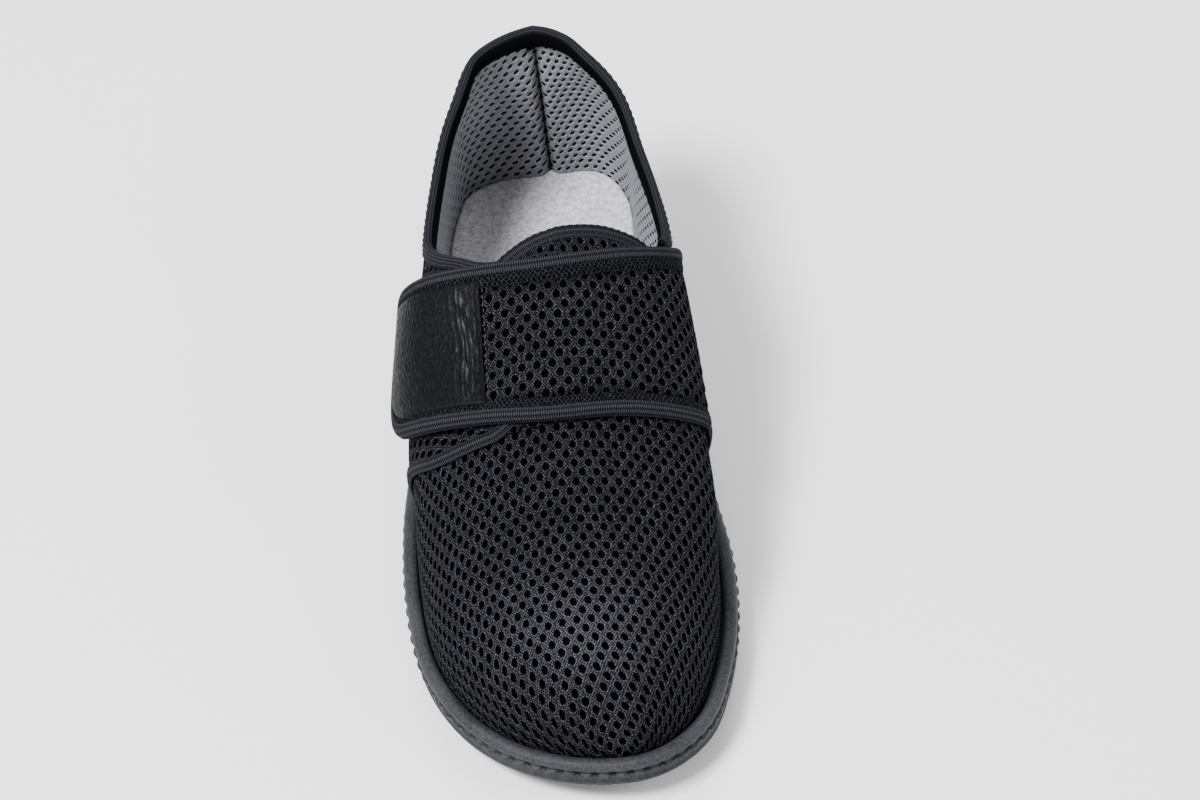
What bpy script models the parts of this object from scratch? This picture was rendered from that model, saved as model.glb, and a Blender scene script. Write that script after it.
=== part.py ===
"""A right-foot orthopedic shoe: moulded sole, hollow mesh upper, tongue, wide strap and bound edges.

The shoe stands on its sole with its toe towards -Y and its inner (medial) side towards +X. Metres, +Z up.
"""

import math

import bmesh
import bpy
import numpy as np
from mathutils import Matrix

# Driving dimensions, in metres
SOLE_LENGTH = 0.285
BALL_WIDTH = 0.110
SOLE_HEEL_HEIGHT = 0.027
TOE_SPRING = 0.0085
ARCH_LIFT = 0.0015
SEAT_DEPTH = 0.003
BEAD_WIDTH = 0.0050
WALL = 0.0030
INSTEP_HEIGHT = 0.066
COLLAR_HEIGHT = 0.098
CLEARANCE = 0.0003
SCALLOP_PITCH = 0.0056
SCALLOP_DEPTH = 0.0013
GROOVE_WIDTH = 0.0018
GROOVE_DEPTH = 0.0012
INSOLE_THICKNESS = 0.0035
TONGUE_THICKNESS = 0.0030
STRAP_THICKNESS = 0.0034
STRAP_CORNER = 0.012
PATCH_LENGTH = 0.039
PATCH_THICKNESS = 0.0008
QUARTER_STEP = 0.0014
QUARTER_FADE = 0.040
TAPE = 0.0009
TAPE_WIDTH = 0.0040
COLLAR_TAPE_DEPTH = 0.0042
TREAD_INSET = 0.016
PATCH_MARGIN = 0.0022

# Places across the upper, from 1 at the outer feather line over 0 at the ridge to -1 at the inner one
STRAP_SEAM, STRAP_END = -0.62, 0.72
STRAP_FULL = -0.30
TONGUE_SIDE = 0.50
# Places along the sole, as shares of its length from the heel
TONGUE_FRONT = 0.68
TOE_SPRING_START = 0.70
ARCH_START, ARCH_END = 0.28, 0.54
HEEL_CENTRE = 0.17
COLLAR_TAPE_OUTER_END, COLLAR_TAPE_INNER_END = 0.412, 0.355
THROAT_START, THROAT_END = 0.44, 0.58
THROAT_SPREAD = 0.16


class Table:
    """Rows of shares under named columns, read as a smooth curve over the first column.

    A rounded table is read over the angle of a half circle instead, so that a column which falls
    to nothing at the heel or the toe does so with a round end.
    """

    def __init__(self, columns, rows, rounded=False):
        self.columns = columns.split()
        self.rows = np.array(rows, float)
        self.rounded = rounded

    def key(self, place):
        return np.arccos(1 - 2 * np.clip(place, 0.0, 1.0)) if self.rounded else place

    def read(self, name, place):
        x = self.key(self.rows[:, 0])
        y = self.rows[:, self.columns.index(name)]
        step = np.diff(x)
        slope = np.diff(y) / step
        inner = (step[1:] * slope[:-1] + step[:-1] * slope[1:]) / (step[1:] + step[:-1])
        tangent = np.concatenate([slope[:1], inner, slope[-1:]])
        at = np.clip(self.key(np.asarray(place, float)), x[0], x[-1])
        i = np.clip(np.searchsorted(x, at) - 1, 0, len(x) - 2)
        t = (at - x[i]) / step[i]
        return (
            y[i] * (2 * t**3 - 3 * t**2 + 1)
            + y[i + 1] * (3 * t**2 - 2 * t**3)
            + tangent[i] * step[i] * (t**3 - 2 * t**2 + t)
            + tangent[i + 1] * step[i] * (t**3 - t**2)
        )


# Half widths of the sole from its heel-to-toe line, as shares of the ball width
OUTLINE = Table(
    "station medial lateral",
    (
        (0.00, 0.000, 0.000),
        (0.03, 0.228, 0.316),
        (0.10, 0.316, 0.409),
        (0.22, 0.316, 0.461),
        (0.42, 0.322, 0.520),
        (0.60, 0.368, 0.598),
        (0.70, 0.392, 0.608),
        (0.80, 0.373, 0.580),
        (0.88, 0.322, 0.499),
        (0.94, 0.257, 0.380),
        (0.98, 0.157, 0.226),
        (1.00, 0.000, 0.000),
    ),
    rounded=True,
)
# Height of the sole's bead over its underside, as shares of the sole's heel height
SOLE_SIDE = Table(
    "station height",
    ((0.0, 1.0), (0.2, 0.97), (0.4, 0.86), (0.6, 0.72), (0.8, 0.54), (1.0, 0.40)),
)
# Ridge of the last: its place across as a share of the ball width, its height over the feather
# line as a share of the instep height, how square the section is, and how far its outer and inner
# flanks swell as shares of the ball width
RIDGE = Table(
    "station across height square outer_swell inner_swell",
    (
        (0.00, -0.03, 1.80, 2.4, 0.000, 0.000),
        (0.03, -0.03, 1.42, 2.3, 0.000, 0.010),
        (0.10, -0.03, 1.33, 2.3, 0.004, 0.050),
        (0.20, -0.03, 1.36, 2.3, 0.022, 0.088),
        (0.34, -0.04, 1.20, 2.3, 0.070, 0.156),
        (0.42, -0.05, 1.12, 2.2, 0.093, 0.172),
        (0.50, -0.06, 0.98, 2.1, 0.100, 0.170),
        (0.60, -0.08, 0.84, 2.1, 0.055, 0.142),
        (0.70, -0.09, 0.74, 2.2, 0.015, 0.095),
        (0.78, -0.09, 0.67, 2.25, 0.008, 0.030),
        (0.86, -0.08, 0.60, 2.3, 0.005, 0.005),
        (0.92, -0.07, 0.53, 2.3, 0.000, 0.000),
        (0.96, -0.05, 0.43, 2.3, 0.000, 0.000),
        (0.985, -0.03, 0.29, 2.3, 0.000, 0.000),
        (1.00, 0.00, 0.00, 2.3, 0.000, 0.000),
    ),
    rounded=True,
)
# Height of the finished collar over the floor, as shares of the collar's height at the heel. Past
# the instep it climbs over the ridge, where the throat takes over.
COLLAR = Table(
    "station lateral medial",
    (
        (0.00, 1.000, 1.000),
        (0.03, 0.982, 0.982),
        (0.10, 0.918, 0.918),
        (0.22, 0.800, 0.805),
        (0.32, 0.768, 0.775),
        (0.36, 0.825, 0.768),
        (0.40, 0.890, 0.830),
        (0.44, 0.955, 0.955),
        (0.48, 1.200, 1.200),
    ),
)
# Edges of the strap. Its place across is 1 at the outer feather line, 0 at the ridge and -1 at the
# inner feather line, and rear and front are stations. Below the collar on the inner side the
# front edge is that of the inner quarter.
STRAP = Table(
    "place rear front",
    (
        (-1.00, 0.360, 0.590),
        (-0.75, 0.365, 0.597),
        (-0.60, 0.378, 0.604),
        (-0.50, 0.400, 0.613),
        (-0.25, 0.435, 0.627),
        (0.00, 0.448, 0.634),
        (0.25, 0.438, 0.619),
        (0.50, 0.409, 0.590),
        (0.72, 0.375, 0.552),
    ),
)
# Front edge of the outer quarter
QUARTER = Table("place front", ((0.20, 0.640), (0.50, 0.628), (0.70, 0.598), (1.00, 0.560)))
# Top edge of the tongue
TONGUE = Table(
    "place rear",
    (
        (-0.50, 0.378),
        (-0.40, 0.373),
        (-0.30, 0.371),
        (-0.15, 0.376),
        (0.00, 0.383),
        (0.15, 0.397),
        (0.50, 0.450),
    ),
)
# Grooves of the tread. Each is a curve through three places, given as stations and as shares of
# the ball width towards the inner side
GROOVES = (
    ((0.065, 0.27), (0.13, 0.17), (0.215, -0.04)),
    ((0.040, 0.16), (0.09, 0.06), (0.165, -0.15)),
    ((0.130, -0.03), (0.08, -0.10), (0.030, -0.16)),
    ((0.215, -0.04), (0.16, -0.16), (0.060, -0.32)),
    ((0.240, -0.18), (0.20, -0.28), (0.145, -0.39)),
    ((0.680, 0.33), (0.655, 0.17), (0.575, -0.02)),
    ((0.770, 0.31), (0.720, 0.06), (0.570, -0.20)),
    ((0.875, 0.27), (0.815, 0.00), (0.660, -0.22)),
    ((0.945, 0.17), (0.890, -0.07), (0.800, -0.20)),
    ((0.615, -0.13), (0.705, -0.23), (0.760, -0.54)),
    ((0.755, -0.12), (0.820, -0.25), (0.860, -0.45)),
    ((0.590, -0.22), (0.640, -0.36), (0.670, -0.55)),
    ((0.900, -0.24), (0.920, -0.29), (0.940, -0.32)),
)


def plan(angle):
    """Edge of the sole seen from above. The angle runs from the toe round the outer side and back."""
    angle = np.mod(np.asarray(angle, float), 2 * math.pi)
    station = (1 + np.cos(angle)) / 2
    x = np.where(angle < math.pi, -OUTLINE.read("lateral", station), OUTLINE.read("medial", station))
    return np.stack([x * BALL_WIDTH, (0.5 - station) * SOLE_LENGTH], axis=-1)


def edge(angle, out):
    """The sole's edge moved outwards by a distance."""
    small = 1e-3
    run = plan(np.asarray(angle) + small) - plan(np.asarray(angle) - small)
    run = run / np.linalg.norm(run, axis=-1, keepdims=True)
    outward = np.stack([-run[..., 1], run[..., 0]], axis=-1)
    return plan(angle) + outward * np.asarray(out)[..., None]


def ground(station):
    """Height of the sole's underside over the floor."""
    station = np.asarray(station, float)
    spring = np.clip((station - TOE_SPRING_START) / (1 - TOE_SPRING_START), 0, 1)
    arch = np.clip((station - ARCH_START) / (ARCH_END - ARCH_START), 0, 1)
    return TOE_SPRING * spring**2 + ARCH_LIFT * np.sin(math.pi * arch) ** 2


def rim(station):
    """Height of the top of the sole's bead over the floor."""
    return ground(station) + SOLE_HEEL_HEIGHT * SOLE_SIDE.read("height", station)


def shell(angle, turn, out):
    """A point of the upper's surface. The turn runs from 0 at the feather line to 1 at the ridge."""
    angle, turn, out = np.broadcast_arrays(angle, np.clip(turn, 0, 1), out)
    station = (1 + np.cos(angle)) / 2
    inset = BEAD_WIDTH + CLEARANCE - out
    foot = edge(angle, -inset)
    core = np.where(
        station < 2 * HEEL_CENTRE, HEEL_CENTRE + station**2 / (4 * HEEL_CENTRE), station
    )
    centre_x = RIDGE.read("across", core) * BALL_WIDTH
    centre_y = (0.5 - core) * (SOLE_LENGTH - 2 * inset)
    power = 2 / RIDGE.read("square", station)
    across = np.cos(turn * math.pi / 2) ** power
    up = np.sin(turn * math.pi / 2) ** power
    lateral = np.mod(angle, 2 * math.pi) < math.pi
    swell = np.where(lateral, RIDGE.read("outer_swell", station), RIDGE.read("inner_swell", station))
    swell = swell * BALL_WIDTH * np.sin(turn * math.pi) ** 2
    reach = np.hypot(foot[..., 0] - centre_x, foot[..., 1] - centre_y)
    across = across * (1 + swell / np.maximum(reach, BEAD_WIDTH))
    height = np.maximum(RIDGE.read("height", station) * INSTEP_HEIGHT + out, 0)
    x = centre_x + (foot[..., 0] - centre_x) * across
    y = centre_y + (foot[..., 1] - centre_y) * across
    z = feather(station) + height * up
    return np.stack([x, y, z], axis=-1)


def feather(station):
    """Height of the upper's lower edge over the floor."""
    return rim(station) - SEAT_DEPTH + CLEARANCE


def wrap(place, station, out):
    """A point of the upper's surface by its place across and its station."""
    place, station, out = np.broadcast_arrays(place, station, out)
    angle = np.arccos(np.clip(2 * station - 1, -1, 1))
    return shell(np.where(place >= 0, angle, 2 * math.pi - angle), 1 - np.abs(place), out)


def draw_in(surface, path, distance):
    """Places on the surface at a distance to the left of a path of places, as seen from outside."""
    run = np.gradient(path, axis=0)
    small = 1e-3
    u, v = path[:, 0], path[:, 1]
    along_u = (surface(u + small, v, 0.0) - surface(u - small, v, 0.0)) / (2 * small)
    along_v = (surface(u, v + small, 0.0) - surface(u, v - small, 0.0)) / (2 * small)
    forward = along_u * run[:, :1] + along_v * run[:, 1:]
    left = np.cross(np.cross(along_u, along_v), forward)
    left = left / np.linalg.norm(left, axis=1, keepdims=True)
    uu, uv, vv = (
        np.sum(a * b, axis=1)
        for a, b in ((along_u, along_u), (along_u, along_v), (along_v, along_v))
    )
    lu, lv = np.sum(left * along_u, axis=1), np.sum(left * along_v, axis=1)
    det = uu * vv - uv * uv
    step = np.stack([(lu * vv - lv * uv) / det, (lv * uu - lu * uv) / det], axis=1)
    return path + step * distance


def topline(angle):
    """The turn at which the upper ends: at the collar, along the throat, or at the ridge."""
    station = (1 + np.cos(angle)) / 2
    lateral = np.mod(angle, 2 * math.pi) < math.pi
    share = np.where(lateral, COLLAR.read("lateral", station), COLLAR.read("medial", station))
    rise = share * COLLAR_HEIGHT - feather(station)
    height = RIDGE.read("height", station) * INSTEP_HEIGHT
    up = np.clip(rise / np.maximum(height, WALL), 0, 1)
    collar = np.arcsin(up ** (RIDGE.read("square", station) / 2)) / (math.pi / 2)
    along = np.clip((station - THROAT_START) / (THROAT_END - THROAT_START), 0, 1)
    throat = 1 - THROAT_SPREAD * np.sqrt(1 - along**2)
    return np.where(station < COLLAR.rows[-1, 0], np.minimum(collar, throat), throat)


# Blender objects


def finish(name, mesh, colour, roughness, metallic=0.0, sharp=math.radians(35)):
    """Turn a bmesh into a named object with a material of its own."""
    bmesh.ops.remove_doubles(mesh, verts=mesh.verts, dist=1e-6)
    bmesh.ops.dissolve_degenerate(mesh, edges=mesh.edges, dist=1e-6)
    bmesh.ops.recalc_face_normals(mesh, faces=mesh.faces)
    data = bpy.data.meshes.new(name)
    mesh.to_mesh(data)
    mesh.free()
    data.shade_smooth()
    data.set_sharp_from_angle(angle=sharp)
    piece = bpy.data.objects.new(name, data)
    bpy.context.scene.collection.objects.link(piece)
    material = bpy.data.materials.new(name)
    material.use_nodes = True
    shader = material.node_tree.nodes["Principled BSDF"]
    shader.inputs["Base Color"].default_value = (*colour, 1.0)
    shader.inputs["Roughness"].default_value = roughness
    shader.inputs["Metallic"].default_value = metallic
    data.materials.append(material)
    return piece


def add_ring(mesh, points):
    return [mesh.verts.new([float(value) for value in point]) for point in points]


def bridge(mesh, first, second, closed=True):
    """Faces between two rings, of which the second may have twice as many points."""
    count = len(first)
    for i in range(count if closed else count - 1):
        j = (i + 1) % count
        if len(second) == count:
            mesh.faces.new((first[i], first[j], second[j], second[i]))
        else:
            mesh.faces.new((first[i], second[2 * i + 1], second[2 * i]))
            mesh.faces.new((first[i], first[j], second[2 * i + 1]))
            mesh.faces.new((first[j], second[(2 * i + 2) % len(second)], second[2 * i + 1]))


def fill_across(mesh, ring):
    """Close a ring that starts at the toe with faces that run straight across the shoe."""
    count = len(ring)
    half = count // 2
    mesh.faces.new((ring[0], ring[1], ring[-1]))
    for i in range(1, half - 1):
        mesh.faces.new((ring[i], ring[i + 1], ring[count - i - 1], ring[count - i]))
    mesh.faces.new((ring[half - 1], ring[half], ring[half + 1]))


def shut(mesh, first, second):
    """Side faces between two rings of a loft's ends."""
    mesh.faces.new(first)
    mesh.faces.new(list(reversed(second)))


def even_angles(count):
    """Angles that share each side of the sole's edge out evenly, from the toe to the heel and back."""
    fine = np.linspace(0, 2 * math.pi, 2881)
    gap = np.linalg.norm(np.diff(plan(fine), axis=0), axis=1)
    length = np.concatenate([[0], np.cumsum(gap)])
    middle = len(fine) // 2
    half = count // 2
    lateral = np.interp(np.linspace(0, length[middle], half + 1), length, fine)
    medial = np.interp(np.linspace(length[middle], length[-1], half + 1), length, fine)
    return np.concatenate([lateral[:-1], medial[:-1]]), length[-1]


def level(angle, out, height):
    """Points at a distance out from the sole's edge, at a height given as a function of station."""
    place = edge(angle, np.full(np.shape(angle), out) if np.isscalar(out) else out)
    station = np.clip(0.5 - place[:, 1] / SOLE_LENGTH, 0, 1)
    return np.column_stack([place, height(station)])


def make_sole():
    length = even_angles(4)[1]
    count = 2 * round(length / SCALLOP_PITCH / 2)
    angle, length = even_angles(count)
    fine, length = even_angles(2 * count)
    bump = np.where(np.arange(2 * count) % 2 == 1, SCALLOP_DEPTH * 0.6, -SCALLOP_DEPTH * 0.4)
    top_of_bead = (
        (-BEAD_WIDTH, SEAT_DEPTH),
        (-0.90 * BEAD_WIDTH, 0.0007),
        (-0.45 * BEAD_WIDTH, 0.0),
        (-0.12 * BEAD_WIDTH, 0.0009),
        (0.0, 0.0024),
        (-0.0012, 0.0040),
    )
    mesh = bmesh.new()
    rings = [
        add_ring(mesh, level(angle, out, lambda s, drop=drop: rim(s) - drop))
        for out, drop in top_of_bead
    ]
    fill_across(mesh, rings[0])
    for first, second in zip(rings[:-1], rings[1:]):
        bridge(mesh, first, second)
    upper_scallop = add_ring(mesh, level(fine, bump, lambda s: rim(s) - 0.0044))
    lower_scallop = add_ring(mesh, level(fine, bump, lambda s: rim(s) - 0.0062))
    bridge(mesh, rings[-1], upper_scallop)
    bridge(mesh, upper_scallop, lower_scallop)
    band = [
        add_ring(mesh, level(angle, -0.0006, lambda s: rim(s) - 0.0070)),
        add_ring(mesh, level(angle, -0.0004, lambda s: ground(s) + 0.0018)),
        add_ring(mesh, level(angle, -0.0024, ground)),
    ]
    bridge(mesh, band[0], lower_scallop)
    for first, second in zip(band[:-1], band[1:]):
        bridge(mesh, first, second)
    fill_across(mesh, band[-1])
    sole = finish("sole", mesh, (0.035, 0.036, 0.040), 0.62)
    tread = bpy.data.collections.new("tread")
    bpy.context.scene.collection.children.link(tread)
    for number, (path, closed) in enumerate(tread_paths()):
        cutter = groove_cutter(f"groove_{number}", path, closed)
        bpy.context.scene.collection.objects.unlink(cutter)
        tread.objects.link(cutter)
    modifier = sole.modifiers.new("tread", "BOOLEAN")
    modifier.operation = "DIFFERENCE"
    modifier.solver = "EXACT"
    modifier.operand_type = "COLLECTION"
    modifier.collection = tread
    return sole


def tread_paths():
    """Each groove of the tread as points on the floor plan."""
    for start, middle, end in GROOVES:
        t = np.linspace(0, 1, 5)[:, None]
        weight = np.hstack([(1 - t) * (1 - 2 * t), 4 * t * (1 - t), t * (2 * t - 1)])
        curve = weight @ np.array([start, middle, end]) * (SOLE_LENGTH, BALL_WIDTH)
        yield np.column_stack([curve[:, 1], SOLE_LENGTH / 2 - curve[:, 0]]), False
    angle, _ = even_angles(46)
    yield edge(angle, np.full(angle.shape, -TREAD_INSET)), True


def groove_cutter(name, path, closed):
    """A bar along a path, half sunk in the sole's underside."""
    run = np.gradient(path, axis=0)
    if closed:
        run = np.roll(path, -1, axis=0) - np.roll(path, 1, axis=0)
    run = run / np.linalg.norm(run, axis=1, keepdims=True)
    side = np.stack([-run[:, 1], run[:, 0]], axis=1) * GROOVE_WIDTH / 2
    mesh = bmesh.new()
    station = 0.5 - path[:, 1] / SOLE_LENGTH
    rings = []
    for place, reach, low in zip(path, side, ground(station)):
        left, right = place - reach, place + reach
        rings.append(
            add_ring(
                mesh,
                (
                    (*left, low - GROOVE_DEPTH),
                    (*right, low - GROOVE_DEPTH),
                    (*right, low + GROOVE_DEPTH),
                    (*left, low + GROOVE_DEPTH),
                ),
            )
        )
    for first, second in zip(rings[:-1], rings[1:]):
        bridge(mesh, first, second)
    if closed:
        bridge(mesh, rings[-1], rings[0])
    else:
        shut(mesh, rings[0], rings[-1])
    cutter = finish(name, mesh, (0.1, 0.1, 0.1), 0.5)
    cutter.hide_render = True
    cutter.display_type = "WIRE"
    return cutter


def upper_angles(count):
    """Angles round the upper, closer together beside the throat."""
    fine = np.linspace(0, 2 * math.pi, 2881)
    near = ((1 + np.cos(fine)) / 2 - THROAT_START) / (THROAT_END - THROAT_START)
    dense = 1 + 1.6 * np.exp(-(near**2))
    total = np.concatenate([[0], np.cumsum((dense[1:] + dense[:-1]) / 2)])
    half = len(fine) // 2
    side = np.interp(np.linspace(0, total[half], count // 2 + 1), total, fine)
    return np.concatenate([side[:-1], 2 * math.pi - side[:0:-1]])


def make_upper():
    columns, rows = 76, 9
    angle = upper_angles(columns)
    top = topline(angle)
    share = np.linspace(0, 1, rows)
    turn = top[:, None] * share[None, :]
    outer = shell(angle[:, None], turn, 0.0)
    inner = shell(angle[:, None], turn, -WALL)
    mesh = bmesh.new()
    outside = [add_ring(mesh, column) for column in outer]
    inside = [add_ring(mesh, column) for column in inner]
    for i in range(columns):
        j = (i + 1) % columns
        bridge(mesh, outside[i], outside[j], closed=False)
        bridge(mesh, inside[j], inside[i], closed=False)
        mesh.faces.new((outside[i][0], outside[j][0], inside[j][0], inside[i][0]))
        if top[i] < 1 or top[j] < 1:
            mesh.faces.new((outside[j][-1], outside[i][-1], inside[i][-1], inside[j][-1]))
    upper = finish("upper", mesh, (0.012, 0.012, 0.014), 0.85)
    quarters = bpy.data.collections.new("quarters")
    bpy.context.scene.collection.children.link(quarters)
    for name, places, front in (
        ("outer_quarter", np.linspace(0.97, 0.24, 9), QUARTER),
        ("inner_quarter", np.linspace(STRAP_SEAM - 0.01, -0.97, 7), STRAP),
    ):
        step = quarter_step(name, places, front)
        bpy.context.scene.collection.objects.unlink(step)
        quarters.objects.link(step)
    modifier = upper.modifiers.new("quarters", "BOOLEAN")
    modifier.operation = "UNION"
    modifier.solver = "EXACT"
    modifier.operand_type = "COLLECTION"
    modifier.collection = quarters
    return upper


def quarter_step(name, places, front):
    """The raised front of a quarter, which sinks away behind its edge."""
    rim_path = np.column_stack([places, front.read("front", places)])
    path = draw_in(wrap, rim_path, TAPE_WIDTH + CLEARANCE)
    share = np.linspace(0, 1, 5)
    grid = np.repeat(path[:, None, :], len(share), axis=1)
    grid[..., 1] -= share * QUARTER_FADE / SOLE_LENGTH
    high = QUARTER_STEP * (1 - 1.3 * share**2)
    step = panel(name, wrap, grid, -WALL / 2, high[None, :], (0.012, 0.012, 0.014), 0.85)
    step.hide_render = True
    step.display_type = "WIRE"
    return step


def panel(name, surface, grid, low, high, colour, roughness):
    """A plate over a grid of places on the surface, between two distances out from it."""
    mesh = bmesh.new()
    low, high = np.broadcast_to(low, grid.shape[:2]), np.broadcast_to(high, grid.shape[:2])
    under = [add_ring(mesh, surface(row[:, 0], row[:, 1], out)) for row, out in zip(grid, low)]
    over = [add_ring(mesh, surface(row[:, 0], row[:, 1], out)) for row, out in zip(grid, high)]
    for i in range(len(grid) - 1):
        bridge(mesh, over[i], over[i + 1], closed=False)
        bridge(mesh, under[i + 1], under[i], closed=False)
        for k in (0, -1):
            mesh.faces.new((over[i][k], over[i + 1][k], under[i + 1][k], under[i][k]))
    for row in (0, -1):
        bridge(mesh, over[row], under[row], closed=False)
    return finish(name, mesh, colour, roughness)


def sweep(name, surface, path, section, colour, roughness):
    """A solid of constant section along a path on the surface. Section rows hold the distance to
    the left of the path, as seen from outside, and the distance out from the surface."""
    mesh = bmesh.new()
    lines = []
    for aside, out in section:
        place = draw_in(surface, path, aside)
        lines.append(surface(place[:, 0], place[:, 1], out))
    rings = [add_ring(mesh, points) for points in zip(*lines)]
    for first, second in zip(rings[:-1], rings[1:]):
        bridge(mesh, first, second)
    shut(mesh, rings[0], rings[-1])
    return finish(name, mesh, colour, roughness)


def make_insole():
    angle, _ = even_angles(64)
    inset = BEAD_WIDTH + 4 * CLEARANCE + WALL
    mesh = bmesh.new()
    low = add_ring(mesh, level(angle, -inset, feather))
    high = add_ring(mesh, level(angle, -inset, lambda s: feather(s) + INSOLE_THICKNESS * 0.8))
    top = add_ring(mesh, level(angle, -inset - 0.002, lambda s: feather(s) + INSOLE_THICKNESS))
    fill_across(mesh, low)
    bridge(mesh, low, high)
    bridge(mesh, high, top)
    fill_across(mesh, top)
    return finish("insole", mesh, (0.42, 0.42, 0.44), 0.95)


def tongue_level():
    """How far the tongue's top lies under the upper's outside: clear of the tape on the collar."""
    return -WALL - 1.5 * TAPE - 5 * CLEARANCE


def tongue_edge():
    places = np.linspace(-TONGUE_SIDE, TONGUE_SIDE, 17)
    return np.column_stack([places, TONGUE.read("rear", places)])


def make_tongue():
    rear = draw_in(wrap, tongue_edge(), TAPE_WIDTH + 2 * CLEARANCE)
    share = np.linspace(0, 1, 7)
    grid = np.repeat(rear[:, None, :], len(share), axis=1)
    grid[..., 1] += (TONGUE_FRONT - grid[..., 1]) * share
    top = tongue_level()
    return panel("tongue", wrap, grid, top - TONGUE_THICKNESS, top, (0.012, 0.012, 0.014), 0.85)


def make_tongue_binding():
    top = tongue_level()
    low = top - TONGUE_THICKNESS
    section = (
        (0.0, low + TAPE),
        (TAPE, low - TAPE / 2),
        (TAPE_WIDTH, low - TAPE / 2),
        (TAPE_WIDTH, top + TAPE / 2),
        (TAPE, top + TAPE / 2),
        (0.0, top - TAPE),
    )
    return sweep("tongue_binding", wrap, tongue_edge(), section, (0.018, 0.018, 0.021), 0.8)


def strap_end_width():
    """Length over the upper for a whole unit of place, at the strap's free end."""
    middle = (STRAP.read("rear", STRAP_END) + STRAP.read("front", STRAP_END)) / 2
    near = wrap(np.array([STRAP_END - 0.1, STRAP_END]), middle, 0.0)
    return np.linalg.norm(near[1] - near[0]) / 0.1


def strap_edges(seam, count):
    """Rear and front edge of the strap with its rounded free end, from a seam to that end."""
    width = strap_end_width()
    straight = np.linspace(seam, STRAP_END - STRAP_CORNER / width, count)
    bend = np.linspace(0, math.pi / 2, 6)[1:]
    places = np.concatenate([straight, STRAP_END - STRAP_CORNER / width * (1 - np.sin(bend))])
    tuck = np.concatenate([np.zeros(count), STRAP_CORNER * (1 - np.cos(bend))]) / SOLE_LENGTH
    rear = np.column_stack([places, STRAP.read("rear", places) + tuck])
    front = np.column_stack([places, STRAP.read("front", places) - tuck])
    return rear, front


def strap_plate(name, seam, count, inset, low, high, colour, roughness):
    """A plate inside the strap's outline, between two levels given as functions of place."""
    rear, front = strap_edges(seam, count)
    path = draw_in(wrap, np.concatenate([rear, front[::-1]]), inset)
    rear, front = path[: len(rear)], path[len(rear) :][::-1]
    share = np.linspace(0, 1, 6)[None, :, None]
    grid = rear[:, None, :] + (front - rear)[:, None, :] * share
    return panel(name, wrap, grid, low(grid[..., 0]), high(grid[..., 0]), colour, roughness)


def strap_base(place):
    """How far the strap's underside stands out: over the step and tape of the outer quarter."""
    lift = np.clip((np.asarray(place) - 0.0) / 0.5, 0, 1)
    return 2 * CLEARANCE + (QUARTER_STEP + TAPE) * lift * lift * (3 - 2 * lift)


def strap_top(place):
    """How far the strap's top stands out: its padding runs out towards its seam."""
    full = np.clip((np.asarray(place) - STRAP_SEAM) / (STRAP_FULL - STRAP_SEAM), 0, 1)
    return strap_base(place) + STRAP_THICKNESS * (1 + full) / 2


def make_strap():
    inset = TAPE_WIDTH + 2 * CLEARANCE
    return strap_plate(
        "strap", STRAP_SEAM, 20, inset, strap_base, strap_top, (0.012, 0.012, 0.014), 0.85
    )


def make_strap_patch():
    inset = TAPE_WIDTH + PATCH_MARGIN
    seam = STRAP_END - (inset + PATCH_LENGTH) / strap_end_width()

    def under(place):
        return strap_top(place) + CLEARANCE

    def over(place):
        return under(place) + PATCH_THICKNESS

    return strap_plate("strap_patch", seam, 6, inset, under, over, (0.010, 0.013, 0.014), 0.45)


def make_strap_binding():
    rear, front = strap_edges(STRAP_SEAM, 20)
    down = np.linspace(STRAP_SEAM, -0.97, 8)[1:]
    quarter = np.column_stack([down, STRAP.read("front", down)])
    path = np.concatenate([rear, front[::-1], quarter])
    low = strap_base(path[:, 0])
    high = np.where(path[:, 0] < STRAP_SEAM - 0.01, QUARTER_STEP, strap_top(path[:, 0]))
    section = (
        (0.0, low),
        (TAPE_WIDTH, low),
        (TAPE_WIDTH, high + TAPE * 0.8),
        (TAPE_WIDTH * 0.6, high + TAPE),
        (TAPE_WIDTH * 0.2, high + TAPE * 0.5),
        (0.0, (low + high) / 2 + TAPE),
    )
    return sweep("strap_binding", wrap, path, section, (0.018, 0.018, 0.021), 0.8)


def make_quarter_binding():
    places = np.linspace(0.97, 0.24, 18)
    path = np.column_stack([places, QUARTER.read("front", places)])
    section = (
        (0.0, 2 * CLEARANCE),
        (TAPE_WIDTH, 2 * CLEARANCE),
        (TAPE_WIDTH, QUARTER_STEP + TAPE * 0.4),
        (TAPE_WIDTH * 0.5, QUARTER_STEP + TAPE * 0.6),
        (0.0, QUARTER_STEP * 0.7),
    )
    return sweep("quarter_binding", wrap, path, section, (0.018, 0.018, 0.021), 0.8)


def make_collar_binding():
    """Tape folded over the collar's edge, from the outer end of the throat round the heel."""
    first = math.acos(2 * COLLAR_TAPE_OUTER_END - 1)
    last = 2 * math.pi - math.acos(2 * COLLAR_TAPE_INNER_END - 1)
    angle = np.linspace(first, last, 47)
    path = np.column_stack([angle, topline(angle)])
    gap, depth = 2.4 * CLEARANCE, -COLLAR_TAPE_DEPTH
    section = (
        (depth, gap),
        (depth, gap + TAPE),
        (0.0, gap + TAPE),
        (gap + TAPE, 0.0),
        (gap + TAPE, -WALL),
        (0.0, -WALL - gap - TAPE),
        (depth, -WALL - gap - TAPE),
        (depth, -WALL - gap),
        (gap, -WALL - gap),
        (gap, gap),
    )
    return sweep("collar_binding", shell, path, section, (0.012, 0.012, 0.014), 0.8)


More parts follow.
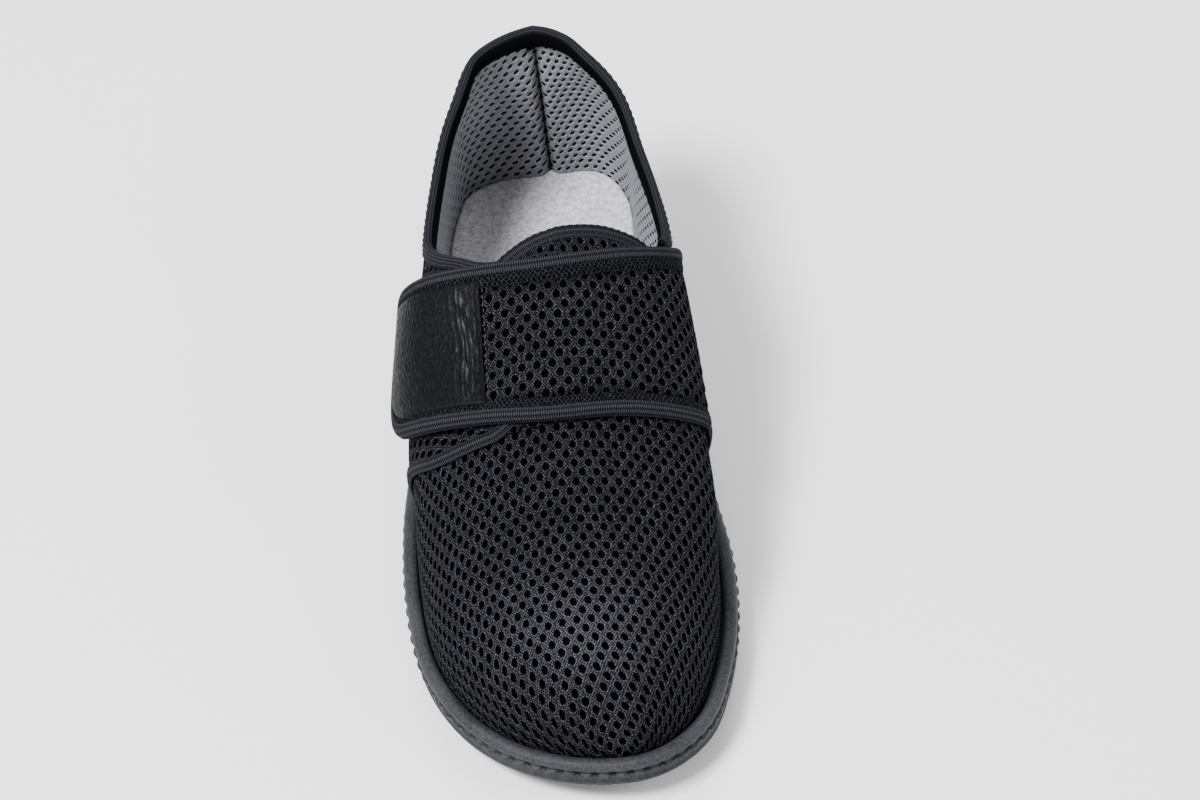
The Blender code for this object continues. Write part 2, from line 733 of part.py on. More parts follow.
def centre(pieces):
    """Move every mesh, cutters too, so that the pieces' box stands centred over the origin."""
    bpy.context.view_layer.update()
    graph = bpy.context.evaluated_depsgraph_get()
    corners = np.array([corner[:] for piece in pieces for corner in piece.evaluated_get(graph).bound_box])
    low, high = corners.min(axis=0), corners.max(axis=0)
    shift = Matrix.Translation((-(low[0] + high[0]) / 2, -(low[1] + high[1]) / 2, -low[2]))
    for thing in bpy.data.objects:
        thing.data.transform(shift)


def main():
    for old in list(bpy.data.objects):
        bpy.data.objects.remove(old, do_unlink=True)
    centre(
        (
            make_sole(),
            make_upper(),
            make_insole(),
            make_tongue(),
            make_tongue_binding(),
            make_strap(),
            make_strap_patch(),
            make_strap_binding(),
            make_quarter_binding(),
            make_collar_binding(),
        )
    )


main()
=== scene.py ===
"""Looks of the right-foot orthopedic shoe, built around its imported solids. Metres, +Z up."""

import math
from collections import namedtuple

import bpy
import numpy as np
from mathutils import Matrix, Vector


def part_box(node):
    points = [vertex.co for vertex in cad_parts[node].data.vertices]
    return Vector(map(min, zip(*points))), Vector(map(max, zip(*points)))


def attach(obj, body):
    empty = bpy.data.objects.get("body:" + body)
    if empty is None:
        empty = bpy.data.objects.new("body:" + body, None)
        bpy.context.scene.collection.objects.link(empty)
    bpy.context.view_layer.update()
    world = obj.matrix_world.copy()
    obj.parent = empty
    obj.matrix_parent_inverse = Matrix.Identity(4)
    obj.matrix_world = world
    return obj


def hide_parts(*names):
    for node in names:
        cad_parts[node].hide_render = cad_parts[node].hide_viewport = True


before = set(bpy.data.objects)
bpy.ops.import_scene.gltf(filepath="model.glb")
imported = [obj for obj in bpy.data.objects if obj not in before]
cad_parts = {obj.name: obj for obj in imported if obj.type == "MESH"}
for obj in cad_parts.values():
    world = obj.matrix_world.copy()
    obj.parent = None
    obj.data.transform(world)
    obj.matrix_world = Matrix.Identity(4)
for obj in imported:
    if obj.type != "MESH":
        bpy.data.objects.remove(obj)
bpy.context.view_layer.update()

# Driving dimensions, in metres
SOLE_LENGTH = 0.285
BALL_WIDTH = 0.110
SOLE_HEEL_HEIGHT = 0.027
TOE_SPRING = 0.0085
ARCH_LIFT = 0.0015
SEAT_DEPTH = 0.003
BEAD_WIDTH = 0.0050
WALL = 0.0030
INSTEP_HEIGHT = 0.066
COLLAR_HEIGHT = 0.098
CLEARANCE = 0.0003
SCALLOP_PITCH = 0.0056
SCALLOP_DEPTH = 0.0013
GROOVE_WIDTH = 0.0018
GROOVE_DEPTH = 0.0012
TONGUE_THICKNESS = 0.0030
STRAP_THICKNESS = 0.0034
STRAP_CORNER = 0.012
PATCH_LENGTH = 0.039
QUARTER_STEP = 0.0014
QUARTER_FADE = 0.040
TAPE = 0.0009
TAPE_WIDTH = 0.0040
COLLAR_TAPE_DEPTH = 0.0042
TREAD_INSET = 0.016
PATCH_MARGIN = 0.0022

# Places across the upper, from 1 at the outer feather line over 0 at the ridge to -1 at the inner one
STRAP_SEAM, STRAP_END = -0.62, 0.72
STRAP_FULL = -0.30
TONGUE_SIDE = 0.50
# Places along the sole, as shares of its length from the heel
TONGUE_FRONT = 0.68
TOE_SPRING_START = 0.70
ARCH_START, ARCH_END = 0.28, 0.54
HEEL_CENTRE = 0.17
THROAT_START, THROAT_END = 0.44, 0.58
THROAT_SPREAD = 0.16


class Table:
    """Rows of shares under named columns, read as a smooth curve over the first column.

    A rounded table is read over the angle of a half circle instead, so that a column which falls
    to nothing at the heel or the toe does so with a round end.
    """

    def __init__(self, columns, rows, rounded=False):
        self.columns = columns.split()
        self.rows = np.array(rows, float)
        self.rounded = rounded

    def key(self, place):
        return np.arccos(1 - 2 * np.clip(place, 0.0, 1.0)) if self.rounded else place

    def read(self, name, place):
        x = self.key(self.rows[:, 0])
        y = self.rows[:, self.columns.index(name)]
        step = np.diff(x)
        slope = np.diff(y) / step
        inner = (step[1:] * slope[:-1] + step[:-1] * slope[1:]) / (step[1:] + step[:-1])
        tangent = np.concatenate([slope[:1], inner, slope[-1:]])
        at = np.clip(self.key(np.asarray(place, float)), x[0], x[-1])
        i = np.clip(np.searchsorted(x, at) - 1, 0, len(x) - 2)
        t = (at - x[i]) / step[i]
        return (
            y[i] * (2 * t**3 - 3 * t**2 + 1)
            + y[i + 1] * (3 * t**2 - 2 * t**3)
            + tangent[i] * step[i] * (t**3 - 2 * t**2 + t)
            + tangent[i + 1] * step[i] * (t**3 - t**2)
        )


# Half widths of the sole from its heel-to-toe line, as shares of the ball width
OUTLINE = Table(
    "station medial lateral",
    (
        (0.00, 0.000, 0.000),
        (0.03, 0.228, 0.316),
        (0.10, 0.316, 0.409),
        (0.22, 0.316, 0.461),
        (0.42, 0.322, 0.520),
        (0.60, 0.368, 0.598),
        (0.70, 0.392, 0.608),
        (0.80, 0.373, 0.580),
        (0.88, 0.322, 0.499),
        (0.94, 0.257, 0.380),
        (0.98, 0.157, 0.226),
        (1.00, 0.000, 0.000),
    ),
    rounded=True,
)
# Height of the sole's bead over its underside, as shares of the sole's heel height
SOLE_SIDE = Table(
    "station height",
    ((0.0, 1.0), (0.2, 0.97), (0.4, 0.86), (0.6, 0.72), (0.8, 0.54), (1.0, 0.40)),
)
# Ridge of the last: its place across as a share of the ball width, its height over the feather
# line as a share of the instep height, how square the section is, and how far its outer and inner
# flanks swell as shares of the ball width
RIDGE = Table(
    "station across height square outer_swell inner_swell",
    (
        (0.00, -0.03, 1.80, 2.4, 0.000, 0.000),
        (0.03, -0.03, 1.42, 2.3, 0.000, 0.010),
        (0.10, -0.03, 1.33, 2.3, 0.004, 0.050),
        (0.20, -0.03, 1.36, 2.3, 0.022, 0.088),
        (0.34, -0.04, 1.20, 2.3, 0.070, 0.156),
        (0.42, -0.05, 1.12, 2.2, 0.093, 0.172),
        (0.50, -0.06, 0.98, 2.1, 0.100, 0.170),
        (0.60, -0.08, 0.84, 2.1, 0.055, 0.142),
        (0.70, -0.09, 0.74, 2.2, 0.015, 0.095),
        (0.78, -0.09, 0.67, 2.25, 0.008, 0.030),
        (0.86, -0.08, 0.60, 2.3, 0.005, 0.005),
        (0.92, -0.07, 0.53, 2.3, 0.000, 0.000),
        (0.96, -0.05, 0.43, 2.3, 0.000, 0.000),
        (0.985, -0.03, 0.29, 2.3, 0.000, 0.000),
        (1.00, 0.00, 0.00, 2.3, 0.000, 0.000),
    ),
    rounded=True,
)
# Height of the finished collar over the floor, as shares of the collar's height at the heel. Past
# the instep it climbs over the ridge, where the throat takes over.
COLLAR = Table(
    "station lateral medial",
    (
        (0.00, 1.000, 1.000),
        (0.03, 0.982, 0.982),
        (0.10, 0.918, 0.918),
        (0.22, 0.800, 0.805),
        (0.32, 0.768, 0.775),
        (0.36, 0.825, 0.768),
        (0.40, 0.890, 0.830),
        (0.44, 0.955, 0.955),
        (0.48, 1.200, 1.200),
    ),
)
# Edges of the strap. Its place across is 1 at the outer feather line, 0 at the ridge and -1 at the
# inner feather line, and rear and front are stations. Below the collar on the inner side the
# front edge is that of the inner quarter.
STRAP = Table(
    "place rear front",
    (
        (-1.00, 0.360, 0.590),
        (-0.75, 0.365, 0.597),
        (-0.60, 0.378, 0.604),
        (-0.50, 0.400, 0.613),
        (-0.25, 0.435, 0.627),
        (0.00, 0.448, 0.634),
        (0.25, 0.438, 0.619),
        (0.50, 0.409, 0.590),
        (0.72, 0.375, 0.552),
    ),
)
# Front edge of the outer quarter
QUARTER = Table("place front", ((0.20, 0.640), (0.50, 0.628), (0.70, 0.598), (1.00, 0.560)))
# Top edge of the tongue
TONGUE = Table(
    "place rear",
    (
        (-0.50, 0.378),
        (-0.40, 0.373),
        (-0.30, 0.371),
        (-0.15, 0.376),
        (0.00, 0.383),
        (0.15, 0.397),
        (0.50, 0.450),
    ),
)
# Grooves of the tread. Each is a curve through three places, given as stations and as shares of
# the ball width towards the inner side
GROOVES = (
    ((0.065, 0.27), (0.13, 0.17), (0.215, -0.04)),
    ((0.040, 0.16), (0.09, 0.06), (0.165, -0.15)),
    ((0.130, -0.03), (0.08, -0.10), (0.030, -0.16)),
    ((0.215, -0.04), (0.16, -0.16), (0.060, -0.32)),
    ((0.240, -0.18), (0.20, -0.28), (0.145, -0.39)),
    ((0.680, 0.33), (0.655, 0.17), (0.575, -0.02)),
    ((0.770, 0.31), (0.720, 0.06), (0.570, -0.20)),
    ((0.875, 0.27), (0.815, 0.00), (0.660, -0.22)),
    ((0.945, 0.17), (0.890, -0.07), (0.800, -0.20)),
    ((0.615, -0.13), (0.705, -0.23), (0.760, -0.54)),
    ((0.755, -0.12), (0.820, -0.25), (0.860, -0.45)),
    ((0.590, -0.22), (0.640, -0.36), (0.670, -0.55)),
    ((0.900, -0.24), (0.920, -0.29), (0.940, -0.32)),
)

# Dimensions of the cloth, tapes and relief that only the looks have, in metres
Knit = namedtuple("Knit", "pitch row hole slant")
OUTER_KNIT = Knit(0.0047, 0.0034, (0.00108, 0.00146), 0.0)
LINING_KNIT = Knit(0.0044, 0.0030, (0.00135, 0.00066), 0.55)
PIT_DEPTH = 0.0011
TONGUE_PIT_DEPTH = 0.0009
LINING_PIT_DEPTH = 0.0008
LINING_SWELL = 0.0042
CREASE_SHADE_WIDTH = 0.0007
PLY_DROP = 0.0014
KNIT_REACH = 0.0078
PRESSED_SHADE_WIDTH = 0.0016
BAND_TOP = 0.0061
FLOOR_DROP = 0.0002
# Stations at which the collar's tape goes under the strap, on the outer and the inner side
COLLAR_SCENE_ENDS = (0.448, 0.385)
# Creases of the leather patch: where, half width, height, waver across, phase. Places are shares of
# its length from the seam
# Each crease's height also sets how bright its painted highlight is
PATCH_FOLDS = (
    (0.030, 0.012, 0.0002, 0.004, 1.6),
    (0.070, 0.014, 0.0004, 0.010, 1.8),
    (0.105, 0.014, 0.0008, 0.016, 2.0),
    (0.135, 0.014, 0.0007, 0.018, 2.1),
    (0.185, 0.018, 0.0003, 0.018, 2.4),
)
# Scale of a wave texture times the distance between its bands
BAND = 0.314


def plan(angle):
    """Edge of the sole seen from above. The angle runs from the toe round the outer side and back."""
    angle = np.mod(np.asarray(angle, float), 2 * math.pi)
    station = (1 + np.cos(angle)) / 2
    x = np.where(angle < math.pi, -OUTLINE.read("lateral", station), OUTLINE.read("medial", station))
    return np.stack([x * BALL_WIDTH, (0.5 - station) * SOLE_LENGTH], axis=-1)


def edge(angle, out):
    """The sole's edge moved outwards by a distance."""
    small = 1e-3
    run = plan(np.asarray(angle) + small) - plan(np.asarray(angle) - small)
    run = run / np.linalg.norm(run, axis=-1, keepdims=True)
    outward = np.stack([-run[..., 1], run[..., 0]], axis=-1)
    return plan(angle) + outward * np.asarray(out)[..., None]


def ground(station):
    """Height of the sole's underside over the floor."""
    station = np.asarray(station, float)
    spring = np.clip((station - TOE_SPRING_START) / (1 - TOE_SPRING_START), 0, 1)
    arch = np.clip((station - ARCH_START) / (ARCH_END - ARCH_START), 0, 1)
    return TOE_SPRING * spring**2 + ARCH_LIFT * np.sin(math.pi * arch) ** 2


def rim(station):
    """Height of the top of the sole's bead over the floor."""
    return ground(station) + SOLE_HEEL_HEIGHT * SOLE_SIDE.read("height", station)


def shell(angle, turn, out):
    """A point of the upper's surface. The turn runs from 0 at the feather line to 1 at the ridge."""
    angle, turn, out = np.broadcast_arrays(angle, np.clip(turn, 0, 1), out)
    station = (1 + np.cos(angle)) / 2
    inset = BEAD_WIDTH + CLEARANCE - out
    foot = edge(angle, -inset)
    core = np.where(
        station < 2 * HEEL_CENTRE, HEEL_CENTRE + station**2 / (4 * HEEL_CENTRE), station
    )
    centre_x = RIDGE.read("across", core) * BALL_WIDTH
    centre_y = (0.5 - core) * (SOLE_LENGTH - 2 * inset)
    power = 2 / RIDGE.read("square", station)
    across = np.cos(turn * math.pi / 2) ** power
    up = np.sin(turn * math.pi / 2) ** power
    lateral = np.mod(angle, 2 * math.pi) < math.pi
    swell = np.where(lateral, RIDGE.read("outer_swell", station), RIDGE.read("inner_swell", station))
    swell = swell * BALL_WIDTH * np.sin(turn * math.pi) ** 2
    reach = np.hypot(foot[..., 0] - centre_x, foot[..., 1] - centre_y)
    across = across * (1 + swell / np.maximum(reach, BEAD_WIDTH))
    height = np.maximum(RIDGE.read("height", station) * INSTEP_HEIGHT + out, 0)
    x = centre_x + (foot[..., 0] - centre_x) * across
    y = centre_y + (foot[..., 1] - centre_y) * across
    z = feather(station) + height * up
    return np.stack([x, y, z], axis=-1)


def feather(station):
    """Height of the upper's lower edge over the floor."""
    return rim(station) - SEAT_DEPTH + CLEARANCE


def wrap(place, station, out):
    """A point of the upper's surface by its place across and its station."""
    place, station, out = np.broadcast_arrays(place, station, out)
    angle = np.arccos(np.clip(2 * station - 1, -1, 1))
    return shell(np.where(place >= 0, angle, 2 * math.pi - angle), 1 - np.abs(place), out)


def draw_in(surface, path, distance):
    """Places on the surface at a distance to the left of a path of places, as seen from outside."""
    run = np.gradient(path, axis=0)
    small = 1e-3
    u, v = path[:, 0], path[:, 1]
    along_u = (surface(u + small, v, 0.0) - surface(u - small, v, 0.0)) / (2 * small)
    along_v = (surface(u, v + small, 0.0) - surface(u, v - small, 0.0)) / (2 * small)
    forward = along_u * run[:, :1] + along_v * run[:, 1:]
    left = np.cross(np.cross(along_u, along_v), forward)
    left = left / np.linalg.norm(left, axis=1, keepdims=True)
    uu, uv, vv = (
        np.sum(a * b, axis=1)
        for a, b in ((along_u, along_u), (along_u, along_v), (along_v, along_v))
    )
    lu, lv = np.sum(left * along_u, axis=1), np.sum(left * along_v, axis=1)
    det = uu * vv - uv * uv
    step = np.stack([(lu * vv - lv * uv) / det, (lv * uu - lu * uv) / det], axis=1)
    return path + step * distance


def topline(angle):
    """The turn at which the upper ends: at the collar, along the throat, or at the ridge."""
    station = (1 + np.cos(angle)) / 2
    lateral = np.mod(angle, 2 * math.pi) < math.pi
    share = np.where(lateral, COLLAR.read("lateral", station), COLLAR.read("medial", station))
    rise = share * COLLAR_HEIGHT - feather(station)
    height = RIDGE.read("height", station) * INSTEP_HEIGHT
    up = np.clip(rise / np.maximum(height, WALL), 0, 1)
    collar = np.arcsin(up ** (RIDGE.read("square", station) / 2)) / (math.pi / 2)
    along = np.clip((station - THROAT_START) / (THROAT_END - THROAT_START), 0, 1)
    throat = 1 - THROAT_SPREAD * np.sqrt(1 - along**2)
    return np.where(station < COLLAR.rows[-1, 0], np.minimum(collar, throat), throat)


def find_shift():
    """Where the shoe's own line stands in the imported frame."""
    angle = np.linspace(0, 2 * math.pi, 4001)
    ring = edge(angle, np.full(angle.shape, SCALLOP_DEPTH * 0.6))
    low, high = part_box("sole")
    middle = (ring.min(axis=0) + ring.max(axis=0)) / 2
    return np.array([(low[0] + high[0]) / 2 - middle[0], (low[1] + high[1]) / 2 - middle[1], 0.0])


def run_length(points):
    """Distance along a line of points, from the first of them."""
    return np.concatenate([[0], np.cumsum(np.linalg.norm(np.diff(points, axis=0), axis=1))])


def eased(share):
    return share * share * (3 - 2 * share)


def station_of(angle):
    return (1 + np.cos(angle)) / 2


def sole_ring(angle, out):
    """The sole's edge moved outwards, and the station of each of its points."""
    place = edge(angle, np.zeros(angle.shape) + out)
    return place, sole_station(place)


def sole_station(place):
    return np.clip(0.5 - place[:, 1] / SOLE_LENGTH, 0, 1)


SHIFT = find_shift()
FINE_ANGLE = np.linspace(0, 2 * math.pi, 5761)
FINE_LENGTH = run_length(plan(FINE_ANGLE))


def even_angles(count):
    """Angles at even distances along the sole's edge, as many on each side."""
    half_way = FINE_LENGTH[len(FINE_ANGLE) // 2]
    half = count // 2
    lateral = np.interp(np.linspace(0, half_way, half + 1), FINE_LENGTH, FINE_ANGLE)
    medial = np.interp(np.linspace(half_way, FINE_LENGTH[-1], half + 1), FINE_LENGTH, FINE_ANGLE)
    return np.concatenate([lateral[:-1], medial[:-1]])


# Materials


class Paint:
    """A node tree with short names for the nodes that the shoe's materials use."""

    def __init__(self, name, roughness, specular):
        self.material = bpy.data.materials.new(name)
        self.material.use_nodes = True
        self.tree = self.material.node_tree
        self.shader = self.tree.nodes["Principled BSDF"]
        self.shader.inputs["Roughness"].default_value = roughness
        self.shader.inputs["Specular IOR Level"].default_value = specular
        self.normal = None

    def link(self, start, end):
        self.tree.links.new(start, end)

    def node(self, kind, inputs=(), **values):
        made = self.tree.nodes.new(kind)
        for key, value in values.items():
            setattr(made, key, value)
        for key, value in dict(inputs).items():
            if isinstance(value, bpy.types.NodeSocket):
                self.link(value, made.inputs[key])
            else:
                made.inputs[key].default_value = value
        return made

    def cloth(self):
        return self.node("ShaderNodeUVMap", uv_map="cloth").outputs["UV"]

    def solid(self):
        return self.node("ShaderNodeTexCoord").outputs["Object"]

    def attribute(self, name):
        return self.node("ShaderNodeAttribute", attribute_name=name).outputs["Fac"]

    def stretch(self, vector, scale, turn=0.0):
        inputs = {"Vector": vector, "Scale": scale, "Rotation": (0, 0, turn)}
        return self.node("ShaderNodeMapping", inputs).outputs["Vector"]

    def noise(self, vector, scale, detail, rough=0.6):
        inputs = {"Vector": vector, "Scale": scale, "Detail": detail, "Roughness": rough}
        return self.node("ShaderNodeTexNoise", inputs).outputs["Fac"]

    def cells(self, vector, scale, feature="F1"):
        inputs = {"Vector": vector, "Scale": scale}
        return self.node("ShaderNodeTexVoronoi", inputs, feature=feature).outputs["Distance"]

    def wave(self, vector, scale, direction, distortion, detail_scale):
        inputs = {"Vector": vector, "Scale": scale, "Distortion": distortion, "Detail Scale": detail_scale}
        return self.node("ShaderNodeTexWave", inputs, bands_direction=direction).outputs["Fac"]

    def math(self, operation, first, second):
        return self.node("ShaderNodeMath", {0: first, 1: second}, operation=operation).outputs[0]

    def times(self, first, second):
        return self.math("MULTIPLY", first, second)

    def plus(self, first, second):
        return self.math("ADD", first, second)

    def ramp(self, value, stops):
        made = self.node("ShaderNodeValToRGB", {"Fac": value})
        elements = made.color_ramp.elements
        while len(elements) < len(stops):
            elements.new(0.5)
        for element, (place, colour) in zip(elements, stops):
            element.position = place
            element.color = (*(colour if isinstance(colour, tuple) else (colour,) * 3), 1.0)
        return made.outputs["Color"]

    def mix(self, share, first, second):
        made = self.node("ShaderNodeMix", data_type="RGBA")
        sockets = [socket for socket in made.inputs if socket.enabled]
        for socket, value in zip(sockets, (share, first, second)):
            if isinstance(value, tuple):
                socket.default_value = (*value, 1.0)
            else:
                self.link(value, socket)
        return next(socket for socket in made.outputs if socket.enabled)

    def colour(self, socket):
        self.link(socket, self.shader.inputs["Base Color"])

    def rough(self, socket):
        self.link(socket, self.shader.inputs["Roughness"])

    def bump(self, height, distance, strength):
        inputs = {"Strength": strength, "Distance": distance, "Height": height}
        if self.normal is not None:
            inputs["Normal"] = self.normal
        self.normal = self.node("ShaderNodeBump", inputs).outputs["Normal"]
        self.link(self.normal, self.shader.inputs["Normal"])


def air_mesh(name, deep, yarn, light, hole, twist=400.0):
    """Knitted spacer mesh: looped yarn between open holes, lightest in the loops round each hole."""
    paint = Paint(name, 0.9, 0.03)
    cloth, solid = paint.cloth(), paint.solid()
    left, right = (
        paint.wave(paint.stretch(cloth, (1, 1, 1), slant), twist, "X", 3.0, 1.5) for slant in (0.62, -0.62)
    )
    threads = paint.math("MAXIMUM", left, right)
    fuzz = paint.noise(solid, 1450, 4.0, 0.9)
    broad = paint.noise(solid, 60, 2.0)
    pit = paint.attribute("pit")
    loop = paint.ramp(pit, ((0.0, 0.42), (0.14, 0.45), (0.27, 0.66), (0.36, 0.40), (0.50, 0.0)))
    lit = paint.times(paint.plus(paint.times(loop, 0.60), paint.times(threads, 0.50)), fuzz)
    # Painted highlight: the yarn is lifted towards its light colour at the toe
    lit = paint.times(lit, paint.plus(paint.times(paint.attribute("painted_toe_highlight"), 0.20), 1.0))
    shade = paint.ramp(lit, ((0.19, deep), (0.34, yarn), (0.55, light)))
    # Painted shade where the mesh is pressed down beside raised parts
    shade = paint.mix(paint.times(paint.attribute("pressed_and_shaded"), 0.6), shade, deep)
    shade = paint.mix(paint.times(broad, 0.3), shade, deep)
    shade = paint.mix(paint.ramp(pit, ((0.40, 0.0), (0.54, 1.0))), shade, hole)
    # The groove attribute paints shade: the lining's crease darkens to the hole colour
    paint.colour(paint.mix(paint.attribute("groove"), shade, hole))
    paint.bump(paint.plus(threads, fuzz), 0.00030, 0.9)
    return paint.material


def ribbed_tape(name, deep, light, row=0.0020, rows_lift=0.35, ribs_share=0.85):
    """Woven tape: fine ribs across it, in rows that run along it."""
    paint = Paint(name, 0.85, 0.05)
    cloth = paint.cloth()
    ribs = paint.wave(cloth, BAND / 0.00070, "X", 1.2, 3.0)
    rows = paint.wave(cloth, BAND / row, "Y", 0.5, 2.0)
    fuzz = paint.noise(paint.solid(), 1500, 3.0, 0.8)
    across = paint.plus(paint.times(ribs, ribs_share), 1 - ribs_share)
    down = paint.plus(paint.times(rows, 1 - rows_lift), rows_lift)
    weave = paint.times(across, down)
    shade = paint.ramp(paint.times(weave, paint.plus(fuzz, 0.40)), ((0.10, deep), (0.75, light)))
    # The groove attribute paints shade where the collar's tape turns under, facing the inside
    paint.colour(paint.mix(paint.attribute("groove"), shade, tuple(0.6 * c for c in deep)))
    paint.bump(weave, 0.00022, 0.9)
    paint.bump(fuzz, 0.00010, 0.7)
    return paint.material


def thread(name, colour):
    paint = Paint(name, 0.7, 0.15)
    twist = paint.noise(paint.solid(), 2500, 3.0)
    paint.colour(paint.ramp(twist, ((0.3, tuple(c * 0.6 for c in colour)), (0.8, colour))))
    paint.bump(twist, 0.0001, 0.5)
    return paint.material


def plain_cloth(name, dark, light):
    paint = Paint(name, 0.95, 0.0)
    fuzz = paint.noise(paint.solid(), 1500, 5.0, 0.7)
    paint.colour(paint.ramp(fuzz, ((0.3, dark), (0.75, light))))
    paint.bump(fuzz, 0.00015, 0.6)
    return paint.material


def felt(name):
    paint = Paint(name, 0.95, 0.1)
    solid = paint.solid()
    fibres = paint.noise(solid, 1100, 6.0, 0.8)
    mottle = paint.noise(solid, 480, 5.0, 0.8)
    dark, middle, light = (0.42, 0.385, 0.415), (0.68, 0.65, 0.69), (0.88, 0.86, 0.91)
    base = paint.ramp(mottle, ((0.38, dark), (0.50, middle), (0.62, light)))
    paint.colour(paint.mix(paint.times(fibres, 0.45), base, (0.34, 0.32, 0.345)))
    paint.bump(fibres, 0.0003, 0.7)
    return paint.material


def grained_leather(name):
    """Synthetic leather: fine long grain, with painted highlights along the creases where the strap bends."""
    paint = Paint(name, 0.42, 0.07)
    cloth = paint.cloth()
    grain = paint.cells(paint.stretch(cloth, (1.0, 0.40, 1.0)), 1500, "SMOOTH_F1")
    fine = paint.noise(paint.solid(), 1600, 4.0, 0.8)
    streak = paint.noise(paint.stretch(cloth, (1.0, 0.16, 1.0)), 1500, 3.0, 0.75)
    base = paint.ramp(fine, ((0.36, (0.0001, 0.0003, 0.0004)), (0.66, (0.0013, 0.0022, 0.0028))))
    base = paint.mix(paint.ramp(streak, ((0.52, 0.0), (0.70, 0.6))), base, (0.010, 0.0135, 0.015))
    broken = paint.ramp(paint.times(streak, paint.plus(fine, 0.5)), ((0.40, 0.0), (0.66, 1.0)))
    # The crease attribute paints highlights along the patch's folds
    paint.colour(paint.mix(paint.times(paint.attribute("crease_light_and_shade"), broken), base, (0.080, 0.094, 0.102)))
    paint.rough(paint.ramp(grain, ((0.1, 0.34), (0.7, 0.62))))
    paint.bump(grain, 0.00035, 0.8)
    paint.bump(streak, 0.00030, 0.6)
    return paint.material


def moulded_foam(name, dark, light, roughness, grain):
    paint = Paint(name, roughness, 0.2)
    solid = paint.solid()
    skin = paint.noise(solid, 1000, 5.0, 0.8)
    specks = paint.cells(solid, 2200)
    broad = paint.noise(solid, 45, 3.0, 0.6)
    tone = paint.plus(paint.times(skin, 0.75), paint.times(broad, 0.25))
    base = paint.ramp(tone, ((0.37, dark), (0.63, light)))
    # The groove attribute paints shade, nearly black: in the tread's grooves and in the dashes under the bead
    paint.colour(paint.mix(paint.times(paint.attribute("groove"), 0.96), base, tuple(c * 0.06 for c in dark)))
    paint.rough(paint.ramp(skin, ((0.3, roughness - 0.06), (0.7, roughness + 0.08))))
    paint.bump(paint.plus(skin, paint.times(specks, 0.5)), grain, 0.55)
    return paint.material


# Meshes


def piece(name, points, faces, material, uv=None, values=(), smooth=True, flip=False):
    mesh = bpy.data.meshes.new(name)
    if flip:
        faces = [tuple(reversed(face)) for face in faces]
    mesh.from_pydata((np.asarray(points) + SHIFT).tolist(), [], faces)
    mesh.update()
    if uv is not None:
        layer = mesh.uv_layers.new(name="cloth")
        corner = np.empty(len(mesh.loops), np.int32)
        mesh.loops.foreach_get("vertex_index", corner)
        layer.data.foreach_set("uv", np.asarray(uv, np.float32)[corner].ravel())
    for key, value in values:
        layer = mesh.attributes.new(key, "FLOAT", "POINT")
        layer.data.foreach_set("value", np.asarray(value, np.float32))
    if smooth:
        mesh.shade_smooth()
    made = bpy.data.objects.new(name, mesh)
    bpy.context.scene.collection.objects.link(made)
    mesh.materials.append(material)
    return made


def seat(made, slot, replace=False):
    """Give a piece its body. One piece of each slot replaces the solid of that name, which is hidden."""
    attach(made, "root")
    if replace:
        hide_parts(slot)


def grid_faces(rows, columns, wrap_rows=False, wrap_columns=False, start=0):
    faces = []
    for i in range(rows if wrap_rows else rows - 1):
        near, far = start + i * columns, start + (i + 1) % rows * columns
        for j in range(columns if wrap_columns else columns - 1):
            n = (j + 1) % columns
            faces.append((near + j, near + n, far + n, far + j))
    return faces


def cap_faces(start, count):
    """Faces across a ring, between its two sides."""
    half = count // 2
    faces = [(0, 1, count - 1)]
    faces += [(i, i + 1, count - i - 1, count - i) for i in range(1, half - 1)]
    faces.append((half - 1, half, half + 1))
    return [tuple(start + i for i in face) for face in faces]


def hex_cells(centres, knit, depth):
    """Places, heights, pit shares and faces of a knitted lattice with a pit at each centre."""
    tall = (knit.row**2 + knit.pitch**2 / 4) / (2 * knit.row)
    short, wide = knit.row - tall, knit.pitch / 2
    right = [(wide, -short), (wide, short), (0, tall)]
    corners = np.array(right + [(-x, -y) for x, y in right])
    border = np.empty((12, 2))
    border[0::2] = corners
    border[1::2] = (corners + np.roll(corners, -1, axis=0)) / 2
    way = np.arctan2(border[:, 1], border[:, 0])
    cosine, sine = math.cos(knit.slant), math.sin(knit.slant)
    turn = np.array([[cosine, sine], [-sine, cosine]])
    hole = (np.column_stack([np.cos(way), np.sin(way)]) * knit.hole) @ turn
    count = len(centres)
    shared = (centres[:, None, :] + border).reshape(-1, 2)
    key = np.round(shared / 1e-5).astype(np.int64)
    _, first, index = np.unique(key, axis=0, return_index=True, return_inverse=True)
    index = index.reshape(count, 12)
    at_corner = np.zeros(len(first), bool)
    at_corner[index[:, 0::2].ravel()] = True
    points = [shared[first]]
    heights = [np.where(at_corner, 0.0, -0.10 * depth)]
    pits = [np.zeros(len(first))]
    loops = [index]
    base = len(first)
    for reach, down, pit in ((1.08, 0.22, 0.35), (0.80, 0.85, 0.85)):
        loops.append(base + np.arange(count * 12).reshape(count, 12))
        points.append((centres[:, None, :] + hole * reach).reshape(-1, 2))
        heights.append(np.full(count * 12, -down * depth))
        pits.append(np.full(count * 12, pit))
        base += count * 12
    points.append(centres)
    heights.append(np.full(count, -depth))
    pits.append(np.ones(count))
    blocks = []
    for k in range(12):
        n = (k + 1) % 12
        for outer, inner in zip(loops[:-1], loops[1:]):
            blocks.append(np.column_stack([outer[:, k], outer[:, n], inner[:, n], inner[:, k]]))
    for k in range(12):
        blocks.append(np.column_stack([loops[-1][:, k], loops[-1][:, (k + 1) % 12], base + np.arange(count)]))
    faces = [tuple(face) for block in blocks for face in block.tolist()]
    return np.concatenate(points), np.concatenate(heights), np.concatenate(pits), faces


